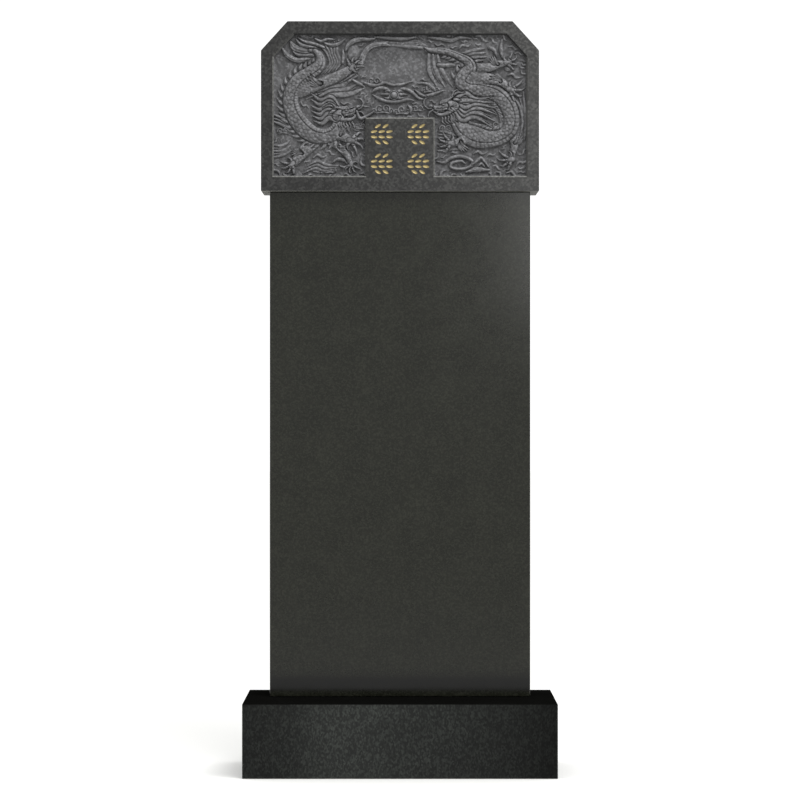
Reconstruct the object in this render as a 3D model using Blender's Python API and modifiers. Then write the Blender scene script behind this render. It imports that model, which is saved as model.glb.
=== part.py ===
"""A granite headstone of three stones: a base block, an upright slab and a cap stone.

The cap stone's face has a sunk field in which two dragons, a pearl, clouds and bands stand in low relief,
and a plaque, flush with the frame, with four marks of shallow strokes.
"""
import math
from collections.abc import Callable, Sequence
from dataclasses import dataclass

import bmesh
import bpy
import numpy as np
from mathutils import Matrix, Vector

# Slab
SLAB_WIDTH = 0.600
SLAB_THICKNESS = 0.120
SLAB_HEIGHT = 1.163

# Base: what shows of its top around the slab, and its height
SIDE_LEDGE = 0.055
FRONT_LEDGE = 0.175
BACK_LEDGE = 0.055
BASE_HEIGHT = 0.1685

# Cap stone: how far it stands over the slab all round, its height and its sloping corners
CAP_OVERHANG = 0.0197
CAP_HEIGHT = 0.3905
CORNER_WIDTH = 0.061
CORNER_HEIGHT = 0.067

# Frame left round the sunk field, and the field's depth
FRAME_SIDE = 0.0295
FRAME_TOP = 0.0315
FRAME_CORNER = 0.032
FRAME_FOOT = 0.035
FIELD_DEPTH = 0.014

# Plaque, from the foot of the field, and its marks of strokes
PLAQUE_WIDTH = 0.160
PLAQUE_HEIGHT = 0.134
MARK_SPACING = (0.084, 0.068)
MARK_FOOT = 0.0275
STROKE_LENGTH = 0.0155
STROKE_WIDTH = 0.0066
STROKE_DEPTH = 0.0022
STROKE_PROUD = 0.0003
STROKE_ROWS = (2, 3, 3, 2)
STROKE_PITCH = (0.0175, 0.0125)
STROKE_SLANTS = (30, 8, -8, -30)

# Edges and seats
ARRIS = 0.002
SEAT_GAP = 0.0003

# The relief is drawn in millimetres on a field of this size and depth, and stretched to the real one
DRAWN_WIDTH = 582.0
DRAWN_HEIGHT = 326.0
DRAWN_DEPTH = 14.0
DRAWN_PITCH = 2.0
RELIEF_TRIANGLES = 7300
SOFTENING = 1.1

Points = Sequence[tuple[float, float]]


def curve_rows(points: Sequence, step: float) -> np.ndarray:
    """Sample a smooth curve through rows of two or more columns.

    Args:
        points: The rows it passes through; the first two columns are its place.
        step: Rough distance between samples.

    Returns:
        The samples, one row each.
    """
    given = np.asarray(points, float)
    given = np.vstack([2 * given[0] - given[1], given, 2 * given[-1] - given[-2]])
    rows = []
    for a, b, c, d in zip(given[:-3], given[1:-2], given[2:-1], given[3:]):
        count = max(2, int(np.hypot(*(c - b)[:2]) / step))
        t = np.linspace(0, 1, count, endpoint=False)[:, None]
        rows.append(b + 0.5 * t * (c - a + t * (2 * a - 5 * b + 4 * c - d + t * (3 * (b - c) + d - a))))
    return np.vstack([*rows, given[-2:-1]])


@dataclass(frozen=True)
class Stamp:
    """A place, heading, size and handedness for a motif drawn one unit long."""

    at: tuple[float, float]
    heading: float
    size: float
    turn: int = 1

    def place(self, points: Points) -> np.ndarray:
        """Take points of the unit motif to the drawing."""
        x, z = (np.asarray(points, float) * (self.size, self.size * self.turn)).T
        c, s = math.cos(math.radians(self.heading)), math.sin(math.radians(self.heading))
        return np.column_stack([x * c - z * s, x * s + z * c]) + self.at


@dataclass(frozen=True)
class Leg:
    """A limb from its root to its foot, with a flame of hair at one joint."""

    points: Points
    radii: tuple[float, ...]
    foot: tuple[float, float]
    turn: int
    hair: tuple[int, float, float, int]


@dataclass(frozen=True)
class Dragon:
    """One dragon's pose: the run of its body from tail to neck, its head, mane and legs."""

    body: Points
    radii: tuple[float, ...]
    head: Stamp
    mane: tuple[Points, ...]
    strands: int
    hair: tuple[Points, ...]
    behind: tuple[Leg, ...]
    before: tuple[Leg, ...]


# The two dragons, drawn in millimetres from the middle of the field's foot
RIGHT_DRAGON = Dragon(
    body=[(56, 297), (72, 291), (92, 290), (114, 286), (136, 277), (156, 266), (163, 250), (150, 234),
          (143, 218), (157, 206), (188, 202), (222, 191), (246, 168), (257, 138), (253, 108), (232, 90),
          (202, 85), (174, 90), (150, 102), (134, 120), (126, 142)],
    radii=(2, 5, 7.5, 7, 8, 10, 13, 16, 17, 17, 17.5, 18, 18.5, 18, 17, 17, 20, 24, 20, 15, 12),
    head=Stamp((122, 160), 190, 58, -1),
    mane=([(126, 176), (150, 192), (176, 178), (214, 184)],
          [(128, 164), (152, 150), (180, 162), (226, 150)],
          [(124, 148), (144, 128), (172, 136), (214, 112)]),
    strands=6,
    hair=([(62, 299), (36, 310), (8, 304), (-30, 308)], [(62, 296), (38, 298), (10, 300), (-20, 302)]),
    behind=(Leg([(170, 250), (200, 250), (226, 258), (246, 262)], (12, 11, 9, 6),
                (8, 24), -1, (2, 150, 24, -1)),
            Leg([(250, 104), (264, 76), (256, 38)], (13, 9, 6), (200, 27), 1, (1, 30, 24, 1))),
    before=(Leg([(168, 228), (200, 226), (232, 218), (254, 200)], (14, 13, 10, 7),
                (-18, 29), -1, (2, 130, 26, 1)),
            Leg([(158, 92), (140, 80), (118, 76)], (14, 10, 7), (182, 27), 1, (1, -80, 26, 1))),
)
LEFT_DRAGON = Dragon(
    body=[(-196, 290), (-184, 276), (-186, 256), (-206, 240), (-232, 222), (-249, 196), (-252, 168),
          (-243, 140), (-225, 115), (-202, 97), (-176, 92), (-154, 100), (-142, 118), (-140, 136)],
    radii=(5, 9, 13, 15, 16.5, 17.5, 18, 19, 20, 19, 17, 16, 14, 12),
    head=Stamp((-142, 138), 14, 56, 1),
    mane=([(-142, 158), (-158, 182), (-182, 176), (-206, 192)],
          [(-148, 148), (-168, 160), (-184, 148), (-206, 156)],
          [(-146, 128), (-164, 134), (-180, 122), (-200, 128)]),
    strands=6,
    hair=(),
    behind=(Leg([(-200, 82), (-226, 52), (-248, 28)], (17, 13, 9), (224, 24), 1, (1, 165, 26, 1)),
            Leg([(-166, 84), (-142, 68), (-124, 50), (-113, 28)], (10, 8, 7, 5.5),
                (-84, 20), -1, (1, -30, 20, 1))),
    before=(Leg([(-232, 196), (-182, 214), (-140, 232), (-112, 250)], (15, 13, 12, 8),
                (64, 24), 1, (1, 178, 34, -1)),
            Leg([(-160, 92), (-138, 94), (-114, 82)], (14, 12, 8), (-10, 30), 1, (1, 64, 24, 1))),
)


class Carving:
    """The carved field as heights above its ground, in drawing millimetres.

    Figures are laid one over another as ribbons and domes; x runs from the field's middle, z from its foot.
    """

    def __init__(self, width: float, height: float, pitch: float) -> None:
        """Lay out a bare field.

        Args:
            width: Drawn width of the field.
            height: Drawn height of the field.
            pitch: Spacing of the grid.
        """
        self.low = np.array([-width / 2, 0.0])
        self.step = np.array([width / round(width / pitch), height / round(height / pitch)])
        across = self.low[0] + self.step[0] * np.arange(round(width / pitch) + 1)
        up = self.step[1] * np.arange(round(height / pitch) + 1)
        self.x, self.z = np.meshgrid(across, up)
        self.rise = np.zeros_like(self.x)
        self.pitch = pitch

    def window(self, low: np.ndarray, high: np.ndarray) -> tuple[slice, slice]:
        """Find the rows and columns of the grid inside a box."""
        first = np.maximum(((low - self.low) / self.step).astype(int), 0)
        last = np.minimum(((high - self.low) / self.step).astype(int) + 2, self.x.shape[::-1])
        last = np.maximum(first, last)
        return slice(first[1], last[1]), slice(first[0], last[0])

    def ribbon(self, points: Points, radii: Sequence[float], margin: float) -> tuple:
        """Measure the grid against a ribbon of changing radius.

        Args:
            points: The ribbon's middle line.
            radii: Half widths, spread evenly over the points.
            margin: How far beyond its edge the ribbon is measured.

        Returns:
            The window; then, in it, distance over radius, the side, the run along and the radius; then the
            length.
        """
        places = np.linspace(0, 1, len(points))
        half = np.interp(places, np.linspace(0, 1, len(radii)), radii)
        rows = curve_rows(np.column_stack([points, half]), max(1.5, self.pitch))
        rows[:, 2] = np.maximum(rows[:, 2], 0.35)
        reach = rows[:, 2].max() + margin
        whole = self.window(rows[:, :2].min(0) - reach, rows[:, :2].max(0) + reach)
        shape = self.x[whole].shape
        share, side, along, radius = np.full(shape, 1e9), np.zeros(shape), np.zeros(shape), np.ones(shape)
        run = 0.0
        for a, b in zip(rows[:-1], rows[1:]):
            d = b[:2] - a[:2]
            length = np.hypot(*d)
            reach = max(a[2], b[2]) + margin
            near = self.window(np.minimum(a[:2], b[:2]) - reach, np.maximum(a[:2], b[:2]) + reach)
            part = tuple(slice(n.start - w.start, n.stop - w.start) for n, w in zip(near, whole))
            dx, dz = self.x[near] - a[0], self.z[near] - a[1]
            t = np.clip((dx * d[0] + dz * d[1]) / max(length, 1e-9) ** 2, 0, 1)
            local = a[2] + t * (b[2] - a[2])
            ratio = np.hypot(dx - t * d[0], dz - t * d[1]) / local
            nearer = ratio < share[part]
            fresh = (ratio, np.sign(d[0] * dz - d[1] * dx), run + t * length, local)
            for field, value in zip((share, side, along, radius), fresh):
                field[part] = np.where(nearer, value, field[part])
            run += length
        return whole, share, side, along, radius, run

    def press(self, where: tuple, new: np.ndarray, share: np.ndarray, radius: np.ndarray | float,
              trench: float, deep: float, over: bool) -> None:
        """Lay a shape over what is there, with a shallow trench around it.

        Args:
            where: The window it covers.
            new: Its heights.
            share: Distance over radius; the shape lies where it is under one.
            radius: The radius that distance is a share of.
            trench: Width of the trench, or 0 for none.
            deep: How much of the old height the trench takes away.
            over: Whether the shape hides what is under it, and doesn't only stand through it.
        """
        old = self.rise[where]
        if trench:
            out = np.maximum(share - 1, 0) * radius
            old = np.where(share > 1, old * (1 - deep * np.exp(-((out / trench) ** 2))), old)
        self.rise[where] = np.where(share < 1, new if over else np.maximum(new, old), old)

    def lay(self, points: Points, radii: Sequence[float], low: float, high: float | tuple, *,
            power: float = 0.5, trench: float = 1.3, deep: float = 0.6, over: bool = True,
            rooted: float = 0, detail: Callable | None = None) -> None:
        """Carve a ribbon with a domed section.

        Args:
            points: Its middle line.
            radii: Its half widths along that line.
            low: Height at its edge.
            high: Height at its crown, or heights spread evenly along it.
            power: Roundness of the section.
            trench: Width of the trench around it.
            deep: Share of the old height that the trench takes.
            over: Whether it hides what is under it.
            rooted: Run over which it grows out of what is under it, without a trench.
            detail: Adds heights from share, side, run along, radius and length.
        """
        where, share, side, along, radius, run = self.ribbon(points, radii, 3 * trench)
        crown = np.interp(along / run, np.linspace(0, 1, np.size(high)), np.atleast_1d(high))
        new = low + (crown - low) * np.clip(1 - share**2, 0, 1) ** power
        if rooted:
            deep = deep * np.clip(along / rooted - 0.3, 0, 1)
        if detail:
            new = new + detail(share, side, along, radius, run)
        self.press(where, new, share, radius, trench, deep, over)

    def dome(self, at: Sequence[float], radius: float, low: float, high: float, *, trench: float = 2.0,
             deep: float = 0.75, over: bool = True, squash: float = 1.0) -> None:
        """Carve a round or flattened dome.

        Args:
            at: Its middle.
            radius: Its half width.
            low: Height at its edge.
            high: Height at its crown.
            trench: Width of the trench around it.
            deep: Share of the old height that the trench takes.
            over: Whether it hides what is under it.
            squash: Its height on the field over its width.
        """
        where = self.window(np.array(at) - radius - 3 * trench, np.array(at) + radius + 3 * trench)
        share = np.hypot(self.x[where] - at[0], (self.z[where] - at[1]) / squash) / radius
        new = low + (high - low) * np.sqrt(np.clip(1 - share**2, 0, 1))
        self.press(where, new, share, radius, trench, deep, over)

    def soften(self, spread: float) -> None:
        """Blur the heights a little, as polishing grit does."""
        reach = max(1, round(3 * spread / self.pitch))
        weights = np.exp(-0.5 * (np.arange(-reach, reach + 1) * self.pitch / spread) ** 2)
        for axis in (0, 1):
            margins = [(reach, reach) if a == axis else (0, 0) for a in (0, 1)]
            padded = np.pad(self.rise, margins, mode="edge")
            rows = [w * np.roll(padded, k - reach, axis) for k, w in enumerate(weights / weights.sum())]
            keep = [slice(reach, -reach) if a == axis else slice(None) for a in (0, 1)]
            self.rise = sum(rows)[tuple(keep)]

    def scales(self, pitch: float, depth: float, belly: float, root: float) -> Callable:
        """Make a detail of overlapping scales, with plain ribs on the belly side.

        Args:
            pitch: Length of one scale.
            depth: How deep the scales are cut.
            belly: Share of the half width at which the belly starts.
            root: Run over which the scales fade in.

        Returns:
            A detail for lay.
        """
        def detail(share: np.ndarray, side: np.ndarray, along: np.ndarray, radius: np.ndarray,
                   _: float) -> np.ndarray:
            lateral = np.arcsin(np.clip(share * side, -1, 1)) * radius * 0.8
            scale = np.zeros_like(along)
            covered = np.zeros(along.shape, bool)
            for back in (-1, 0, 1):
                row = np.floor(along / pitch) - back
                shift = 0.5 * (row % 2)
                column = np.round(lateral / pitch - shift) + shift
                ahead = (along - (row + 0.35) * pitch) / (0.95 * pitch)
                r = np.clip(np.hypot(ahead, (lateral / pitch - column) / 0.58), 0, 1)
                inside = (r < 1) & ~covered
                scale = np.where(inside, 0.65 * (1 - r**2.5) ** 0.6 + 0.35 * (1 - r), scale)
                covered |= inside
            fade = np.clip((1 - share) / 0.14, 0, 1) * np.clip(along / root, 0, 1)
            ribs = 0.75 * (np.abs(np.sin(math.pi * along / (0.9 * pitch))) ** 0.7 - 0.6)
            seam = 1.1 * np.exp(-(((share * side - belly) * radius / 1.2) ** 2))
            return depth * fade * (np.where(share * side > belly, ribs, scale - 0.55) - seam)
        return detail

    def hair(self, root: Stamp, count: int, fan: float, *, low: float = 2.5, high: float = 7.5,
             width: float = 0.1) -> None:
        """Fan out flame-like locks from one point.

        Args:
            root: Where they start and head.
            count: Number of locks.
            fan: Angle that they spread over.
            low: Height at their edges.
            high: Height at their roots.
            width: Half width of a lock over its length.
        """
        for a in np.radians(np.linspace(-fan / 2, fan / 2, count)):
            reach = 0.75 + 0.25 * math.cos(2 * a)
            c, s = reach * math.cos(a), reach * math.sin(a)
            lock = [(0, 0), (0.35 * c, 0.35 * s - 0.05), (0.7 * c, 0.7 * s + 0.05), (c, s + 0.2)]
            radii = root.size * width * np.array([1.2, 1.1, 0.8, 0.1])
            self.lay(root.place(lock), radii, low, (high, low + 1), trench=1.0, deep=0.5)

    def locks(self, guides: tuple[Points, ...], count: int, radii: Sequence[float],
              low: float, high: float) -> None:
        """Lay strands of hair side by side between guides.

        Args:
            guides: Curves of equally many points that the strands are blended between.
            count: Number of strands.
            radii: Half widths of a strand.
            low: Height at its edge.
            high: Height at its root.
        """
        rows = np.array(guides, float)
        last = len(guides) - 1
        for thin in (1, 0):
            for place in np.linspace(0, last, count) - 0.5 * thin * last / (count - 1):
                if place < 0:
                    continue
                first = min(int(place), last - 1)
                points = rows[first] + (place - first) * (rows[first + 1] - rows[first])
                points = points + 0.12 * thin * (points[:1] - points)
                self.lay(points, np.array(radii) * (1 - 0.35 * thin), low - thin, (high - thin, low + 1.5))

    def fins(self, body: Points, radii: Sequence[float], spacing: float, length: float) -> None:
        """Stand a row of swept fins along the right-hand side of a body.

        Args:
            body: The body's middle line.
            radii: Its half widths.
            spacing: Distance between fins.
            length: Length of a full fin.
        """
        rows = curve_rows(np.column_stack([body, radii]), 1.5)
        run = np.concatenate([[0], np.cumsum(np.hypot(*np.diff(rows[:, :2], axis=0).T))])
        for at in np.arange(0.1 * run[-1], 0.97 * run[-1], spacing):
            i = int(np.clip(np.searchsorted(run, at), 1, len(rows) - 2))
            ahead = rows[i + 1, :2] - rows[i - 1, :2]
            ahead /= np.hypot(*ahead)
            out = np.array([ahead[1], -ahead[0]])
            grown = length * min(1, 0.35 + at / (0.35 * run[-1]))
            foot = rows[i, :2] + 0.72 * rows[i, 2] * out
            tip = foot + grown * (1.05 * out - 0.8 * ahead)
            fin = [foot, foot + grown * (0.6 * out - 0.16 * ahead), tip]
            self.lay(fin, spacing * np.array([0.42, 0.34, 0.04]), 2.5, (8.0, 3.5), deep=0.5)

    def foot(self, pad: Stamp) -> None:
        """Carve a foot of four hooked toes and a thumb.

        Args:
            pad: Where it is and points.
        """
        for a in np.radians(np.linspace(-52, 52, 4)):
            c, s = math.cos(a), math.sin(a)
            toe = [(0.1 * c, 0.1 * s), (0.42 * c, 0.42 * s + 0.06), (0.66 * c, 0.66 * s + 0.02)]
            claw = [(0.6 * c, 0.6 * s + 0.04), (0.9 * c, 0.9 * s + 0.02), (1.1 * c + 0.02, 1.1 * s - 0.18)]
            self.lay(pad.place(toe), pad.size * np.array([0.15, 0.14, 0.13]), 4, 10.5, power=0.6)
            self.lay(pad.place(claw), pad.size * np.array([0.11, 0.08, 0.02]), 3.5, (10.0, 5.5), power=0.6)
        thumb = pad.place([(0, -0.1), (-0.2, -0.42), (-0.08, -0.76)])
        self.lay(thumb, pad.size * np.array([0.15, 0.1, 0.02]), 4, 10, power=0.6)
        self.lay(pad.place([(-0.12, 0), (0.16, 0)]), pad.size * np.array([0.25, 0.2]), 5, 11.2, trench=0)

    def leg(self, limb: Leg) -> None:
        """Carve a limb, its flame of hair and its foot."""
        self.lay(limb.points, limb.radii, 4.5, (9.0, 13.0, 12.0, 11.0), trench=2, over=False, rooted=36,
                 detail=self.scales(6.5, 0.9, 2, 6))
        joint, heading, size, turn = limb.hair
        self.hair(Stamp(limb.points[joint], heading, size, turn), 5, 58, low=5)
        self.foot(Stamp(limb.points[-1], limb.foot[0], limb.foot[1], limb.turn))

    def head(self, face: Stamp) -> None:
        """Carve a dragon's head in profile."""
        def lay(points: Points, radii: Sequence[float], low: float, high: float, **more: object) -> None:
            self.lay(face.place(points), face.size * np.array(radii), low, high, **more)

        def dome(at: tuple[float, float], radius: float, low: float, high: float, **more: object) -> None:
            self.dome(face.place([at])[0], face.size * radius, low, high, **more)

        # Horns and ear
        lay([(0.18, 0.2), (0, 0.4), (-0.26, 0.52), (-0.56, 0.48)], [0.06, 0.055, 0.045, 0.012], 6, 12)
        lay([(-0.04, 0.44), (-0.14, 0.58), (-0.3, 0.66)], [0.04, 0.034, 0.01], 6, 11)
        lay([(0, 0.16), (-0.16, 0.25), (-0.36, 0.2)], [0.035, 0.08, 0.01], 6, 11.5)
        # Beard
        for x in (0.1, 0.22, 0.34, 0.46, 0.58):
            lock = [(x, -0.2), (x - 0.1, -0.36), (x - 0.06, -0.5), (x - 0.2, -0.66)]
            lay(lock, [0.04, 0.04, 0.032, 0.006], 3, (8.5, 4.0), trench=1)
        # Lower jaw and tongue
        lay([(0.02, -0.1), (0.26, -0.2), (0.52, -0.23), (0.7, -0.13), (0.75, -0.05)],
            [0.1, 0.085, 0.065, 0.05, 0.02], 5, 11, trench=1.6)
        lay([(0.38, -0.1), (0.58, -0.1), (0.72, -0.01), (0.86, -0.03)], [0.035, 0.03, 0.025, 0.01],
            4.5, 8.5, trench=0.8)
        # Skull, cheek and cheek hair
        lay([(-0.05, 0.02), (0.14, 0.08), (0.34, 0.1)], [0.19, 0.2, 0.15], 6, 12.5, trench=2)
        dome((0.08, -0.07), 0.13, 8, 12.8, trench=0, over=False)
        for a in np.radians((150, 176, 202, 228)):
            c, s = math.cos(a), math.sin(a)
            lock = [(0.06, -0.04), (0.06 + 0.14 * c, 0.14 * s - 0.04), (0.06 + 0.27 * c, 0.27 * s + 0.02)]
            lay(lock, [0.05, 0.045, 0.008], 7, (12.5, 8.0), trench=0.8, deep=0.25)
        # Snout, lip, nose and its wrinkles
        lay([(0.3, 0.08), (0.55, 0.05), (0.78, 0.11)], [0.135, 0.095, 0.09], 6.5, 12.2, trench=1.5)
        lay([(0.26, -0.03), (0.5, -0.045), (0.72, 0.02), (0.9, 0.07)], [0.034, 0.034, 0.034, 0.02],
            8, 12.5, deep=0.3)
        dome((0.87, 0.16), 0.09, 8, 13.2, trench=1.2)
        dome((0.9, 0.16), 0.03, 9.5, 8.5, trench=0)
        for x in (0.46, 0.56, 0.66):
            fold = [(x, 0.14), (x + 0.04, 0.08), (x + 0.02, 0.02)]
            lay(fold, [0.012, 0.02, 0.012], 10, 13, trench=0.8, deep=0.12)
        # Fangs
        for x, foot, up in ((0.8, 0.03, -1), (0.62, 0.03, -1), (0.46, 0.03, -1), (0.66, -0.16, 1)):
            fang = [(x, foot), (x - 0.01, foot + 0.07 * up), (x - 0.03, foot + 0.12 * up)]
            lay(fang, [0.026, 0.022, 0.005], 7, 10.5, trench=0.6, deep=0.3)
        # Eye and brow
        dome((0.36, 0.16), 0.085, 9, 12.2, trench=1, deep=0.15)
        dome((0.37, 0.155), 0.058, 9.5, 13.6, trench=0.8, deep=0.3)
        for k in range(4):
            tip = [(0.46 - 0.07 * k, 0.21 + 0.01 * k), (0.4 - 0.1 * k, 0.3 + 0.01 * k),
                   (0.27 - 0.12 * k, 0.35 + 0.02 * k)]
            lay(tip, [0.045, 0.038, 0.008], 8.5, (12.8, 9.5), trench=0.8, deep=0.3)
        # Whiskers
        for whisker in ([(0.84, 0.08), (1, 0.12), (1.12, 0.3), (1.04, 0.5), (0.84, 0.56)],
                        [(0.8, 0.02), (0.98, -0.08), (1.04, -0.3), (0.9, -0.48), (0.72, -0.54)]):
            lay(whisker, [0.032, 0.029, 0.025, 0.02, 0.006], 3, (11.0, 5.0))

    def dragon(self, beast: Dragon) -> None:
        """Carve one dragon from its tail to its head."""
        if beast.hair:
            self.locks(beast.hair, 4, (3.5, 4.5, 4, 0.6), 2, 8)
        for limb in beast.behind:
            self.leg(limb)
        self.fins(beast.body, beast.radii, 12, 17)
        self.lay(beast.body, beast.radii, 4, 11.2, trench=2.2, deep=0.75,
                 detail=self.scales(8.5, 1.3, 0.42, 40))
        for limb in beast.before:
            self.leg(limb)
        self.locks(beast.mane, beast.strands, (5.2, 5.4, 4.4, 0.6), 5, 10.5)
        self.head(beast.head)

    def scroll(self, at: np.ndarray, size: float, start: float, turn: int, low: float, high: float) -> None:
        """Wind one curl of a cloud on a low disc.

        Args:
            at: Its middle.
            size: Its outer radius.
            start: Angle at which the ridge starts.
            turn: Which way it winds.
            low: Height of the disc.
            high: Height of the ridge.
        """
        t = np.linspace(0, 1, 14)
        reach, angle = size * (1 - 0.8 * t), math.radians(start) + turn * 2.5 * math.pi * t
        self.dome(at, 1.05 * size, low - 1, low + 0.6, trench=1.4, deep=0.6)
        ridge = np.column_stack([at[0] + reach * np.cos(angle), at[1] + reach * np.sin(angle)])
        self.lay(ridge, 0.2 * size * (1.05 - 0.45 * t), low - 0.4, high, trench=0.9, deep=0.25, over=False)

    def cloud(self, at: tuple[float, float], size: float, flip: int, lobes: int, tail: float,
              low: float = 1.8, high: float = 6.0) -> None:
        """Carve a cloud of curls side by side with a streaming tail.

        Args:
            at: Its middle.
            size: Scale of its curls.
            flip: 1 for a tail to the left, -1 for one to the right.
            lobes: Number of curls, from 1 to 4.
            tail: Length of the tail over size, or 0 for none.
            low: Height of the discs.
            high: Height of the ridges.
        """
        stamp = Stamp(at, 0, size)
        for drop, rise, share in ((-0.35, -0.5, 1.0), (-0.1, -0.22, 0.82)) if tail else ():
            line = [(-0.4, drop), (-0.45 * tail, rise), (-0.75 * tail, rise + 0.22),
                    (-tail * share, rise + 0.1)]
            radii = size * share * np.array([0.26, 0.2, 0.13, 0.02])
            self.lay(stamp.place(np.array(line) * (flip, 1)), radii, low - 1, (high - 1, low + 0.2),
                     deep=0.5)
        curls = {1: ((0, 0, 0.7, -20, 1),), 2: ((-0.55, -0.1, 0.55, 200, -1), (0.45, -0.15, 0.6, -20, 1)),
                 3: ((-0.85, -0.25, 0.5, 200, -1), (0.85, -0.25, 0.5, -20, 1), (0, 0.12, 0.72, 250, 1)),
                 4: ((-1.3, -0.3, 0.42, 200, -1), (1.25, -0.3, 0.42, -20, 1), (-0.5, 0.05, 0.6, 210, -1),
                     (0.5, 0.1, 0.62, -30, 1))}
        for dx, dz, radius, start, turn in curls[lobes]:
            spot = stamp.place([(dx * flip, dz)])[0]
            self.scroll(spot, radius * size, start if flip > 0 else 180 - start, turn * flip, low, high)
        if lobes > 1:
            keel = stamp.place([(-1, -0.62), (0, -0.48), (1, -0.62)])
            self.lay(keel, size * np.array([0.08, 0.16, 0.08]), low - 1, high - 1, trench=1, deep=0.4)

    def streamer(self, points: Points, radii: Sequence[float], low: float = 1.8, high: float = 7.0) -> None:
        """Carve a long band with fine lines along it."""
        def lines(share: np.ndarray, side: np.ndarray, _: np.ndarray, radius: np.ndarray,
                  __: float) -> np.ndarray:
            fade = np.clip(radius / 5, 0, 1) * np.clip((1 - share) / 0.3, 0, 1)
            return 0.9 * fade * np.cos(2.5 * math.pi * share * side)
        self.lay(points, radii, low, high, trench=1.8, deep=0.65, detail=lines)


def pearl(art: Carving, at: tuple[float, float], radius: float) -> None:
    """Carve the pearl among its flames, inside two open arcs of cloud."""
    x, z = at
    arcs = (([(-52, 6), (-42, 14), (-26, 17), (-12, 11), (-16, 5)], (1, 3.5, 4, 3.5, 1.5)),
            ([(8, 9), (22, 15), (40, 8), (56, -6), (70, -10)], (1.5, 3.5, 4, 3.5, 1)),
            ([(-50, 2), (-36, -7), (-16, -14), (8, -15), (30, -10), (46, -12)], (1, 3.5, 4, 4, 3.5, 1)))
    for points, radii in arcs:
        art.lay([(x + dx, z + dz) for dx, dz in points], radii, 2.5, 8)
    for turn in (-1, 1):
        for reach, lift in ((22, 8), (32, 2), (24, -5)):
            flame = [(x + turn * 6, z + 0.6 * lift), (x + turn * 0.6 * reach, z + 1.3 * lift),
                     (x + turn * reach, z + lift)]
            art.lay(flame, (4, 3.4, 0.5), 2.5, (8.0, 4.0))
    art.dome(at, radius * 1.4, 6, 8, trench=1.2)
    art.dome(at, radius, 5, 12, trench=1)


# Clouds: middle, size, side of the tail, curls and length of the tail
BACKDROP_CLOUDS = (
    ((-40, 155), 15, 1, 4, 2.0), ((4, 152), 14, -1, 3, 2.2), ((70, 203), 15, -1, 3, 2.4),
    ((-60, 219), 13, 1, 4, 3.0), ((-92, 116), 12, 1, 2, 1.4), ((104, 112), 13, -1, 2, 2.0),
    ((-168, 17), 15, 1, 3, 3.2), ((40, 158), 12, -1, 2, 1.8), ((-270, 106), 12, 1, 2, 1.4),
    ((228, 120), 12, 1, 2, 2.2),
)

# Low bosses: middle, half width, and height over width
BOSSES = (((-107, 284), 15, 1.25), ((-176, 140), 15, 1.3), ((-100, 110), 9, 0.7),
          ((250, 250), 10, 0.8), ((104, 232), 10, 0.8))

# Sheaves of strands: guides, strands, half widths, height at the edge and at the root
TRESSES = (
    (([(-182, 300), (-166, 280), (-162, 258), (-182, 236)],
      [(-142, 314), (-146, 290), (-138, 264), (-150, 242)]), 5, (2, 3.6, 3.6, 1), 1.5, 6),
    (([(-112, 250), (-142, 228), (-172, 216), (-214, 206)],
      [(-98, 232), (-132, 212), (-168, 200), (-218, 178)]), 4, (2, 4.2, 4.2, 1), 2, 8),
    (([(132, 198), (160, 190), (196, 182), (224, 162)],
      [(140, 184), (166, 176), (196, 166), (222, 146)]), 3, (2, 4, 4, 1), 1.5, 6),
    (([(262, 184), (276, 160), (283, 128), (276, 88)],
      [(284, 196), (288, 160), (290, 128), (288, 84)]), 2, (1, 3.5, 3.5, 1), 1.5, 5),
    (([(66, 282), (66, 256), (70, 236), (86, 206)],
      [(86, 282), (92, 256), (104, 232), (122, 206)]), 3, (3, 5, 5, 1), 1.5, 8),
    (([(-190, 196), (-160, 206), (-138, 208), (-122, 220)],
      [(-184, 172), (-160, 186), (-116, 190), (-80, 205)]), 3, (3, 6, 6, 1), 2, 8),
    (([(-224, 6), (-196, 18), (-176, 12), (-150, 16)],
      [(-214, 24), (-190, 34), (-170, 26), (-142, 24)]), 3, (1, 3.6, 3.6, 1), 1.5, 6),
    (([(-292, 44), (-276, 47), (-262, 52), (-250, 60)],
      [(-292, 72), (-274, 70), (-262, 76), (-254, 84)]), 3, (2, 3.6, 3, 1), 1.5, 5),
    (([(-292, 126), (-276, 120), (-262, 112), (-252, 98)],
      [(-292, 142), (-276, 136), (-264, 128), (-254, 116)]), 2, (2, 3.6, 3, 1), 1.5, 6),
    (([(114, 292), (140, 282), (168, 290), (196, 296)],
      [(116, 276), (142, 264), (170, 274), (200, 276)]), 3, (2, 4.5, 5, 1), 2, 9),
    (([(88, 104), (104, 102), (118, 98), (132, 92)],
      [(86, 58), (106, 60), (120, 62), (138, 62)]), 4, (1, 3.4, 3.4, 1), 1.2, 5),
)

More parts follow.
